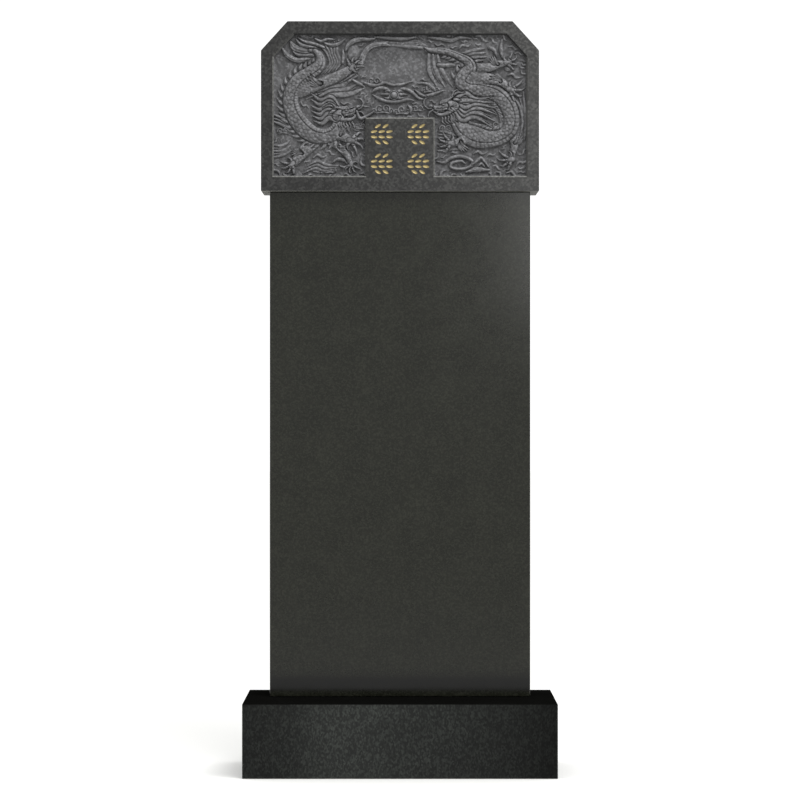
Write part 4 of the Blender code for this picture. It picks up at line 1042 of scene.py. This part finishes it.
@dataclass(frozen=True)
class Gilding:
    """Gold size and leaf in a cut stroke: a metal, soft where the stroke's floor is uneven.

    Its roughness varies by uneven. It wrinkles every wrinkle_mm, and in the hollows of the wrinkles, up to
    thin_until of their height, it is thin and darkens to thin_tone.
    """

    name: str = "Gold leaf"
    colour: str = "#9F9067"
    roughness: float = 0.45
    uneven: float = 0.2
    wrinkle_mm: float = 2.0
    wrinkle_depth_mm: float = 0.2
    thin_tone: float = 0.8
    thin_until: float = 0.6

    def material(self) -> bpy.types.Material:
        """Build the leaf as a node material, once.

        Returns:
            The material, built before or now.
        """
        if self.name in bpy.data.materials:
            return bpy.data.materials[self.name]
        material = bpy.data.materials.new(self.name)
        material.use_nodes = True
        tree = material.node_tree
        shader = tree.nodes["Principled BSDF"]
        shader.inputs["Metallic"].default_value = 1
        place = add_node(tree, "ShaderNodeTexCoord").outputs["Object"]
        wrinkle = add_node(tree, "ShaderNodeTexNoise", {"Vector": place,
                                                        "Scale": 1 / (self.wrinkle_mm * MM), "Detail": 2})
        rough = add_node(tree, "ShaderNodeMapRange", {"Value": wrinkle.outputs["Fac"],
                                                      "To Min": (1 - self.uneven) * self.roughness,
                                                      "To Max": (1 + self.uneven) * self.roughness})
        worn = add_node(tree, "ShaderNodeMapRange", {"Value": wrinkle.outputs["Fac"], "From Min": NOISE_LOW,
                                                     "From Max": self.thin_until,
                                                     "To Min": self.thin_tone, "To Max": 1.0})
        tint = add_node(tree, "ShaderNodeVectorMath", {0: linear(self.colour)[:3],
                                                       "Scale": worn.outputs["Result"]}, operation="SCALE")
        bump = add_node(tree, "ShaderNodeBump", {"Height": wrinkle.outputs["Fac"],
                                                 "Distance": self.wrinkle_depth_mm * MM})
        tree.links.new(tint.outputs["Vector"], shader.inputs["Base Color"])
        tree.links.new(rough.outputs["Result"], shader.inputs["Roughness"])
        tree.links.new(bump.outputs["Normal"], shader.inputs["Normal"])
        return material


# Polished granite: the slab's face, almost black under a clear skin, darkened in a band just above its foot
# by painted shade and a painted reflection of the black base top
POLISHED = Granite("Polished black granite", Working.POLISHED, "#151610", "#2A2B24", 0.13, 0.25,
                   grain_share=0.6, mottle_mm=70, mottle=0.16,
                   painted_ramp=PaintedLightRamp((0, 0, 1), 0.168, 0.235,
                               ((0, 1), (0.1, 1), (0.2, 0.7), (0.3, 0.15), (0.5, 0.05), (0.75, 0.6), (1, 1))))
# Finely ground granite: the cap stone's frame, greyer for want of a full polish, with painted light that
# makes it lighter towards the upper right
FINE_GROUND = Granite("Fine ground granite", Working.POLISHED, "#252524", "#545452", 0.22, 0.3,
                      grain_mm=4.5, grain_share=0.6, mottle_mm=40, mottle=0.12, tooth_mm=0.05,
                      painted_ramp=PaintedLightRamp((1, 0, 0.6), 0.57, 1.36, ((0, 0.44), (0.4, 0.6), (1, 0.9))))
# Carved granite: bruised by the chisel to a light matte grey, with painted light on faces turned up and to
# the right and painted shade on faces turned away
CARVED = Granite("Carved granite", Working.CARVED, "#4B4B4C", "#6B6B6D", 0.8, 0.2, grain_mm=4.5,
                 grain_share=0.8, mottle_mm=30, mottle=0.12, tooth_mm=0.8, painted_facing_light=0.55)
# Rubbed edges of the cap stone's face, where the wheel has left the stone pale, with painted light on
# faces turned up and to the right and painted shade on faces turned away
ARRIS = Granite("Rubbed granite edge", Working.POLISHED, "#40403E", "#686866", 0.5, 0.3, painted_facing_light=1.5)
# The cap stone's lower lip, paler even than the rubbed edges and even all along: a painted highlight for the
# light that the lip catches from the floor
LIP = replace(ARRIS, name="Rubbed granite lip", ground="#4A4A48", crystal="#727270", painted_facing_light=0)
# Bush-hammered granite: the base block's faces, dark, with a coarse upright tooth, and painted light and
# shade across them: lightest left of the middle, darkest at the right
HAMMERED = Granite("Hammered granite", Working.HAMMERED, "#262726", "#3E413E", 0.75, 0.05, grain_mm=2.8,
                   grain_share=0.7, mottle_mm=45, mottle=0.12, tooth_mm=1.2, stretch=1.8,
                   painted_ramp=PaintedLightRamp((1, 0, 0), -0.355, 0.355,
                               ((0, 0.45), (0.15, 0.63), (0.31, 1.0), (0.5, 0.83), (0.69, 0.66), (0.85, 0.46),
                                (1, 0.22))))
# The block's two ends, a darker copy of the hammered stone in one even tone: painted shade on the ends
HAMMERED_END = replace(HAMMERED, name="Hammered granite, end", ground="#191A19", crystal="#2D302D",
                       painted_ramp=None)
# Honed black top of the base block: black and without gloss
HONED_BLACK = Granite("Honed black granite", Working.POLISHED, "#0B0B0A", "#121211", 0.7, 0.0, mottle=0.1)
# Sawn granite: undersides and backs, which nobody polishes, with the saw's level lines
SAWN = Granite("Sawn granite", Working.SAWN, "#545450", "#7A7A74", 0.7, 0.2, grain_share=0.7, mottle=0.1,
               tooth_mm=0.4)
# Gold leaf: in the cut dabs of the plaque, a soft yellow glint
GOLD_LEAF = Gilding()


class BaseSlot(IntEnum):
    """Material slots of the base block."""

    WALL = 0
    TOP = 1
    UNDERSIDE = 2
    END = 3


class SlabSlot(IntEnum):
    """Material slots of the slab."""

    POLISHED = 0
    SAWN = 1


class CapSlot(IntEnum):
    """Material slots of the cap stone."""

    FRAME = 0
    FIELD = 1
    SAWN = 2
    GOLD = 3
    ARRIS = 4
    LIP = 5


class CutterSlot(IntEnum):
    """Material slots of what the field is cut with."""

    FIELD = 0
    ARRIS = 1


def to_object(name: str, bm: bmesh.types.BMesh, finishes: dict[int, Granite | Gilding]) -> bpy.types.Object:
    """Turn a bmesh into an object of the scene.

    Args:
        name: The object's name.
        bm: The mesh, which is freed.
        finishes: The finish of each material slot.

    Returns:
        The object, at the origin.
    """
    mesh = bpy.data.meshes.new(name)
    bm.to_mesh(mesh)
    bm.free()
    for slot in sorted(finishes):
        mesh.materials.append(finishes[slot].material())
    thing = bpy.data.objects.new(name, mesh)
    bpy.context.scene.collection.objects.link(thing)
    return thing


def baked(thing: bpy.types.Object) -> bpy.types.Mesh:
    """Return a new mesh of an object as its modifiers leave it."""
    bpy.context.view_layer.update()
    return bpy.data.meshes.new_from_object(thing.evaluated_get(bpy.context.evaluated_depsgraph_get()))


def sawn_block(low: Vector, high: Vector, cuts: Sequence = ()) -> bmesh.types.BMesh:
    """Make a block between two corners, with sloping sides sawn off.

    Args:
        low: Its lowest corner.
        high: Its highest corner.
        cuts: A point on each saw cut and the direction of what falls away.

    Returns:
        The closed mesh.
    """
    bm = bmesh.new()
    size = Matrix.Diagonal((*(high - low), 1))
    bmesh.ops.create_cube(bm, size=1, matrix=Matrix.Translation((low + high) / 2) @ size)
    for point, away in cuts:
        geometry = [*bm.verts, *bm.edges, *bm.faces]
        sawn = bmesh.ops.bisect_plane(bm, geom=geometry, plane_co=point, plane_no=away, clear_outer=True)
        edges = [item for item in sawn["geom_cut"] if isinstance(item, bmesh.types.BMEdge)]
        bmesh.ops.edgeloop_fill(bm, edges=edges)
    bmesh.ops.recalc_face_normals(bm, faces=bm.faces)
    return bm


def ease(bm: bmesh.types.BMesh, arris: float, hidden: int, lip: int = 0) -> None:
    """Round a block's edges and give its back, its underside and its lower front edge their own finish.

    Args:
        bm: The block.
        arris: Width of the rounding.
        hidden: Material slot of the back and the underside.
        lip: Material slot of the lower front edge.
    """
    bmesh.ops.bevel(bm, geom=list(bm.edges), offset=arris, affect="EDGES", segments=3, profile=0.5,
                    material=-1)
    for face in bm.faces:
        face.material_index = hidden if face.normal.y > FACING or face.normal.z < -FACING else 0
        if -FLUSH < face.normal.y < -SLOPING and face.normal.z < -SLOPING:
            face.material_index = lip


@dataclass
class BaseBlock:
    """The block on the ground: four hammered faces, an honed black top and a sawn underside.

    The walls are divided every pitch_mm and struck up to pit_mm deep, by lumps and grit of the sizes given.
    upright is the pits' width over their height, fade_arrises the run, in arrises, over which they grow in
    from the edges, and grit_shift sets the grit's noise apart from the lumps'.
    """

    pitch_mm: float = 2.6
    arris_mm: float = 1.4
    pit_mm: float = 1.1
    lump_mm: float = 5.5
    lump_share: float = 0.6
    grit_mm: float = 3.0
    grit_share: float = 0.9
    grit_shift: tuple[float, float, float] = (7.3, 1.9, 4.1)
    upright: float = 0.6
    fade_arrises: float = 3

    def build(self) -> bpy.types.Object:
        """Build the block and its hammered faces.

        Returns:
            The dressed block.
        """
        low, high = (Vector(corner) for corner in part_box("base"))
        size = high - low
        bm = sawn_block(low, high)
        for face in [f for f in bm.faces if abs(f.normal.z) > MOSTLY]:
            bm.faces.remove(face)
        for axis in range(3):
            edges = [e for e in bm.edges
                     if abs((e.verts[1].co - e.verts[0].co).normalized()[axis]) > MOSTLY]
            cuts = round(size[axis] / (self.pitch_mm * MM)) - 1
            bmesh.ops.subdivide_edges(bm, edges=edges, cuts=cuts, use_grid_fill=True)
        self.hammer(bm, low, high)
        for level, slot in ((high.z, BaseSlot.TOP), (low.z, BaseSlot.UNDERSIDE)):
            rim = [e for e in bm.edges if e.is_boundary and abs(e.verts[0].co.z - level) < MM]
            end = bmesh.ops.edgeloop_fill(bm, edges=rim)["faces"]
            slope = bmesh.ops.inset_region(bm, faces=end, thickness=self.arris_mm * MM,
                                           use_even_offset=True)["faces"]
            for face in [*end, *slope]:
                face.material_index = slot
            for vertex in {v for e in rim for v in e.verts}:
                vertex.co.z += self.arris_mm * MM * (-1 if slot is BaseSlot.TOP else 1)
        bmesh.ops.recalc_face_normals(bm, faces=bm.faces)
        for face in bm.faces:
            face.smooth = len(face.verts) == 4 and abs(face.normal.z) < MOSTLY
            if face.smooth and abs(face.calc_center_median().x) > high.x - 2 * self.pit_mm * MM:
                face.material_index = BaseSlot.END
        return to_object("base_block", bm, {BaseSlot.WALL: HAMMERED, BaseSlot.TOP: HONED_BLACK,
                                            BaseSlot.UNDERSIDE: SAWN, BaseSlot.END: HAMMERED_END})

    def hammer(self, bm: bmesh.types.BMesh, low: Vector, high: Vector) -> None:
        """Strike pits into the walls, deeper away from the edges, never standing out of the block.

        Args:
            bm: The walls.
            low: The block's lowest corner.
            high: Its highest corner.
        """
        middle = (low + high) / 2
        half = (high - low) / 2
        for vertex in bm.verts:
            away = Vector([half[i] - abs(vertex.co[i] - middle[i]) for i in range(3)])
            edge = min(away.z, max(away.x, away.y))
            fade = min(1.0, edge / (self.fade_arrises * self.arris_mm * MM))
            spot = Vector((vertex.co.x, vertex.co.y, self.upright * vertex.co.z)) / MM
            lump = 0.5 + 0.5 * noise.noise(spot / self.lump_mm)
            grit = abs(noise.noise(spot / self.grit_mm + Vector(self.grit_shift)))
            struck = min(1.0, self.lump_share * lump + self.grit_share * grit)
            depth = self.pit_mm * MM * fade * struck
            if away.y < away.x:
                vertex.co.y -= math.copysign(depth, vertex.co.y - middle.y)
            else:
                vertex.co.x -= math.copysign(depth, vertex.co.x - middle.x)


@dataclass
class Slab:
    """The upright tablet: polished face and sides, sawn back."""

    arris: float = 0.002

    def build(self) -> bpy.types.Object:
        """Build the tablet.

        Returns:
            The dressed tablet.
        """
        low, high = (Vector(corner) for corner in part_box("slab"))
        bm = sawn_block(low, high)
        ease(bm, self.arris, SlabSlot.SAWN)
        return to_object("tablet", bm, {SlabSlot.POLISHED: POLISHED, SlabSlot.SAWN: SAWN})


@dataclass
class CapStone:
    """The head stone: block, sunk field with its relief, plaque and gilded marks.

    rim is the width of the rubbed slope round the field and the plaque, and off_middle how far above the
    dabs' middles the face is split. Rubbing and painted light grow by their gain for each drawing millimetre
    that a point stands over its surroundings, which are the heights blurred over their reach: the crowns get
    a painted highlight and the hollows painted shade.
    """

    RUB_AND_SHADE = "rub_and_shade"
    corner_width: float = 0.061
    corner_height: float = 0.067
    frame_side: float = 0.0295
    frame_top: float = 0.0315
    frame_corner: float = 0.032
    frame_foot: float = 0.035
    field_depth: float = 0.014
    plaque_width: float = 0.160
    plaque_height: float = 0.134
    arris: float = 0.002
    rim: float = 0.003
    off_middle: float = 0.0006
    triangles: int = 186_000
    rub_and_shade_reach: float = 3.2
    rub_and_shade_gain: float = 0.3

    def build(self) -> bpy.types.Object:
        """Build the cap stone and cut its field and marks.

        Returns:
            The dressed cap stone.
        """
        low, high = (Vector(corner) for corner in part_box("cap"))
        away = [Vector((side * self.corner_height, 0, self.corner_width)).normalized() for side in (-1, 1)]
        corners = [Vector((side * high.x, 0, high.z - self.corner_height)) for side in (-1, 1)]
        bm = sawn_block(low, high, list(zip(corners, away)))
        ease(bm, self.arris, CapSlot.SAWN, CapSlot.LIP)
        field_low = Vector((low.x + self.frame_side, low.y, low.z + self.frame_foot))
        for level in Marks().levels(field_low):
            bmesh.ops.bisect_plane(bm, geom=[*bm.verts, *bm.edges, *bm.faces],
                                   plane_co=(0, 0, level + self.off_middle), plane_no=(0, 0, 1))
        block = to_object("cap_stone", bm, {CapSlot.FRAME: FINE_GROUND, CapSlot.FIELD: CARVED,
                                            CapSlot.SAWN: SAWN, CapSlot.GOLD: GOLD_LEAF,
                                            CapSlot.ARRIS: ARRIS, CapSlot.LIP: LIP})
        field_high = Vector((high.x - self.frame_side, low.y, high.z - self.frame_top))
        art = ReliefDesign().carve()
        inner = [(corner - self.frame_corner * way, way) for corner, way in zip(corners, away)]
        mould = self.mould(art, field_low, field_high, inner)
        marks = Marks().cutter(field_low)
        for cutter in (marks, mould):
            cut = block.modifiers.new(cutter.name, "BOOLEAN")
            cut.operation, cut.solver, cut.object = "DIFFERENCE", "EXACT", cutter
            cut.material_mode = "TRANSFER"
        block.data = baked(block)
        block.modifiers.clear()
        for cutter in (mould, marks):
            bpy.data.objects.remove(cutter)
        self.store_rub_and_shade(block.data, art, field_low, field_high)
        return block

    def outline(self, low: Vector, high: Vector, cuts: Sequence) -> bpy.types.Object:
        """Make the field's outline as a solid that flares towards the face, so that the edge is eased.

        Args:
            low: Left foot of the field, on the stone's face.
            high: Right top of the field, on the stone's face.
            cuts: The field's sloping corners.

        Returns:
            The solid as an object.
        """
        rim, reach = self.rim, 2 * self.field_depth
        bm = sawn_block(low - Vector((rim, reach, rim)), high + Vector((rim, 0, rim)),
                        [(point + rim * away, away) for point, away in cuts])
        inner = [face for face in bm.faces if face.normal.y > FACING]
        for thickness, depth in ((rim, rim), (0, reach)):
            bmesh.ops.inset_region(bm, faces=inner, thickness=thickness, depth=depth, use_even_offset=True)
        return self.sloped("field_outline", bm)

    def plaque(self, low: Vector) -> bpy.types.Object:
        """Make the plaque as a solid that narrows towards the face, so that its edge is eased.

        Args:
            low: Left foot of the field, on the stone's face.

        Returns:
            The solid as an object.
        """
        rim, reach = self.rim, 4 * self.field_depth
        bm = sawn_block(Vector((-self.plaque_width / 2, low.y + rim, low.z - reach)),
                        Vector((self.plaque_width / 2, low.y + reach, low.z + self.plaque_height)))
        outer = [face for face in bm.faces if face.normal.y < -FACING]
        for thickness, depth in ((rim, rim), (0, reach)):
            bmesh.ops.inset_region(bm, faces=outer, thickness=thickness, depth=depth, use_even_offset=True)
        return self.sloped("plaque_blank", bm)

    def sloped(self, name: str, bm: bmesh.types.BMesh) -> bpy.types.Object:
        """Turn a cutter into an object whose slopes leave a rubbed edge with painted light and shade.

        Args:
            name: The object's name.
            bm: The cutter.

        Returns:
            The cutter as an object.
        """
        bm.normal_update()
        for face in bm.faces:
            slopes = SLOPING < abs(face.normal.y) < FACING
            face.material_index = CutterSlot.ARRIS if slopes else CutterSlot.FIELD
        return to_object(name, bm, {CutterSlot.FIELD: CARVED, CutterSlot.ARRIS: ARRIS})

    def mould(self, art: Carving, low: Vector, high: Vector, cuts: Sequence) -> bpy.types.Object:
        """Make the solid that the field is cut with, its inner face the relief.

        Args:
            art: The carved field.
            low: Left foot of the field, on the stone's face.
            high: Right top of the field, on the stone's face.
            cuts: The field's sloping corners.

        Returns:
            The mould as an object.
        """
        design = ReliefDesign()
        clear = 2 * self.field_depth
        rows, columns = art.x.shape
        bm = bmesh.new()
        bmesh.ops.create_grid(bm, x_segments=columns - 1, y_segments=rows - 1, size=1)
        spread = ((high.x - low.x) / design.width, (high.z - low.z) / design.height)
        for vertex in bm.verts:
            column = round((vertex.co.x + 1) / 2 * (columns - 1))
            row = round((vertex.co.y + 1) / 2 * (rows - 1))
            past_x = clear * ((column == columns - 1) - (column == 0))
            past_z = clear * ((row == rows - 1) - (row == 0))
            depth = self.field_depth * (1 - art.rise[row, column] / design.depth)
            vertex.co = (low.x + spread[0] * (art.x[row, column] + design.width / 2) + past_x,
                         low.y + depth, low.z + spread[1] * art.z[row, column] + past_z)
        faces = 2 * len(bm.faces)
        sheet = to_object("relief_sheet", bm, {})
        thin = sheet.modifiers.new("Fewer triangles", "DECIMATE")
        thin.ratio = self.triangles / faces
        bm = bmesh.new()
        bm.from_mesh(baked(sheet))
        bpy.data.objects.remove(sheet)
        border = [edge for edge in bm.edges if edge.is_boundary]
        rim = bmesh.ops.extrude_edge_only(bm, edges=border)["geom"]
        for vertex in (item for item in rim if isinstance(item, bmesh.types.BMVert)):
            vertex.co.y = low.y - clear
        bmesh.ops.edgeloop_fill(bm, edges=[edge for edge in bm.edges if edge.is_boundary])
        bmesh.ops.recalc_face_normals(bm, faces=bm.faces)
        for face in bm.faces:
            face.smooth = True
        mould = to_object("relief_mould", bm, {CutterSlot.FIELD: CARVED})
        outline, blank = self.outline(low, high, cuts), self.plaque(low)
        for other, operation in ((outline, "INTERSECT"), (blank, "DIFFERENCE")):
            trim = mould.modifiers.new(other.name, "BOOLEAN")
            trim.operation, trim.solver, trim.object = operation, "EXACT", other
            trim.material_mode = "TRANSFER"
        mould.data = baked(mould)
        mould.modifiers.clear()
        for other in (outline, blank):
            bpy.data.objects.remove(other)
        return mould

    def store_rub_and_shade(self, mesh: bpy.types.Mesh, art: Carving, low: Vector, high: Vector) -> None:
        """Store how far each point of the field stands over its surroundings, 0 in a hollow, 1 on a crown,
        for the rubbing and the painted shade and highlight.

        Args:
            mesh: The cap stone's mesh.
            art: The carved field.
            low: Left foot of the field.
            high: Right top of the field.
        """
        around = Carving(*(2 * -art.low[0], art.z.max(), art.pitch))
        around.rise = art.rise.copy()
        around.soften(self.rub_and_shade_reach)
        stand = np.clip(0.5 + self.rub_and_shade_gain * (art.rise - around.rise), 0, 1)
        points = np.empty(3 * len(mesh.vertices), np.float32)
        mesh.vertices.foreach_get("co", points)
        x, _, z = points.reshape(-1, 3).T
        rows, columns = stand.shape
        column = np.clip((x - low.x) / (high.x - low.x) * (columns - 1) + 0.5, 0, columns - 1).astype(int)
        row = np.clip((z - low.z) / (high.z - low.z) * (rows - 1) + 0.5, 0, rows - 1).astype(int)
        rub_and_shade = mesh.attributes.new(self.RUB_AND_SHADE, "FLOAT", "POINT")
        rub_and_shade.data.foreach_set("value", stand[row, column].astype(np.float32))


@dataclass
class Marks:
    """Four marks in two rows on the plaque, each of four rows of dabs that form no letter."""

    spacing: tuple[float, float] = (0.084, 0.068)
    foot: float = 0.0275
    length: float = 0.0155
    width: float = 0.0066
    depth: float = 0.0022
    proud: float = 0.0003
    rows: tuple[int, ...] = (2, 3, 3, 2)
    pitch: tuple[float, float] = (0.0175, 0.0125)
    slants: tuple[float, ...] = (30, 8, -8, -30)
    segments: tuple[int, int] = (12, 10)

    def levels(self, corner: Vector) -> list[float]:
        """Give the height of every row of dabs, where the face is split so that no dab is a hole in it."""
        middle = (len(self.rows) - 1) / 2
        return [corner.z + self.foot + level * self.spacing[1] + (middle - line) * self.pitch[1]
                for level in (0, 1) for line in range(len(self.rows))]

    def cutter(self, corner: Vector) -> bpy.types.Object:
        """Make the solid that cuts every dab, tapering to both ends.

        Args:
            corner: A point on the plaque's face, at the foot of the field.

        Returns:
            The cutter, which leaves gold where it cuts.
        """
        bm = bmesh.new()
        half = Matrix.Diagonal((self.width / 2, self.depth, self.length / 2, 1))
        for height, count, slant in zip(self.levels(corner), 2 * self.rows, 2 * self.slants):
            turn = Matrix.Rotation(math.radians(90 - slant), 4, "Y")
            for side in (-0.5, 0.5):
                for place in range(count):
                    across = side * self.spacing[0] + (place - (count - 1) / 2) * self.pitch[0]
                    middle = Matrix.Translation(Vector((across, corner.y - self.proud, height)))
                    bmesh.ops.create_uvsphere(bm, u_segments=self.segments[0], v_segments=self.segments[1],
                                              radius=1, matrix=middle @ turn @ half)
        for face in bm.faces:
            face.smooth = True
        return to_object("stroke_dabs", bm, {0: GOLD_LEAF})


@dataclass(frozen=True)
class Lamp:
    """A soft light: where it hangs, what it points at, its width and height, and its power in watts."""

    name: str
    at: tuple[float, float, float]
    aim: tuple[float, float, float]
    size: tuple[float, float]
    watts: float

    def hang(self) -> None:
        """Hang the light in the scene."""
        data = bpy.data.lights.new(self.name, "AREA")
        data.shape, (data.size, data.size_y), data.energy = "RECTANGLE", self.size, self.watts
        light = bpy.data.objects.new(self.name, data)
        light.location = self.at
        light.rotation_euler = (Vector(self.aim) - Vector(self.at)).to_track_quat("-Z", "Y").to_euler()
        bpy.context.scene.collection.objects.link(light)


# A key light above the front, and a small panel at the right, which the polish mirrors
KEY = Lamp("key", at=(1.3, -2.4, 4.2), aim=(0, 0, 1.5), size=(2.4, 1.6), watts=105)
PANEL = Lamp("panel", at=(0.95, -9.0, 2.1), aim=(0.3, 0, 1.3), size=(0.6, 1.5), watts=16)


@dataclass
class Studio:
    """A pale floor, soft light and the camera."""

    eye_height: float = 0.852
    distance: float = 7.2
    focal_pixels: float = 3125.4
    picture_pixels: float = 800
    sensor_mm: float = 36
    floor_reach: float = 30
    surround: float = 1.12
    paper: str = "#F6F6F4"
    paper_roughness: float = 0.9
    paper_specular: float = 0.1
    lamps: tuple[Lamp, ...] = (KEY, PANEL)

    def build(self) -> None:
        """Set floor, world, lights and camera."""
        self.floor()
        self.world()
        for lamp in self.lamps:
            lamp.hang()
        self.camera()

    def floor(self) -> None:
        """Lay a pale floor, far wider than the view."""
        bm = bmesh.new()
        bmesh.ops.create_grid(bm, x_segments=1, y_segments=1, size=self.floor_reach)
        paint = bpy.data.materials.new("Matt white paper")
        paint.use_nodes = True
        shader = paint.node_tree.nodes["Principled BSDF"]
        shader.inputs["Base Color"].default_value = linear(self.paper)
        shader.inputs["Roughness"].default_value = self.paper_roughness
        shader.inputs["Specular IOR Level"].default_value = self.paper_specular
        floor = to_object("floor", bm, {})
        floor.data.materials.append(paint)

    def world(self) -> None:
        """Light the scene evenly from a white surround."""
        world = bpy.data.worlds.new("White surround")
        world.use_nodes = True
        background = world.node_tree.nodes["Background"]
        background.inputs["Color"].default_value = linear("#FFFFFF")
        background.inputs["Strength"].default_value = self.surround
        bpy.context.scene.world = world

    def camera(self) -> None:
        """Stand the camera where the photograph was taken: level, well back and at half height."""
        data = bpy.data.cameras.new("camera")
        data.sensor_width = self.sensor_mm
        data.lens = self.sensor_mm * self.focal_pixels / self.picture_pixels
        camera = bpy.data.objects.new("camera", data)
        camera.location = (0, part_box("slab")[0][1] - self.distance, self.eye_height)
        camera.rotation_euler = (math.pi / 2, 0, 0)
        bpy.context.scene.collection.objects.link(camera)
        bpy.context.scene.camera = camera
        bpy.context.scene.view_settings.view_transform = "Standard"


def main() -> None:
    """Build, dress and place every piece."""
    pieces = (("base", BaseBlock(), "rough_granite"), ("slab", Slab(), "polished_granite"),
              ("cap", CapStone(), "carved_granite"))
    for node, maker, slot in pieces:
        stone = maker.build()
        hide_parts(node)
        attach(stone, "root")
        log.info("%s: %d faces", stone.name, len(stone.data.polygons))
    Studio().build()


if __name__ == "__main__":
    logging.basicConfig(level=logging.INFO)
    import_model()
    main()
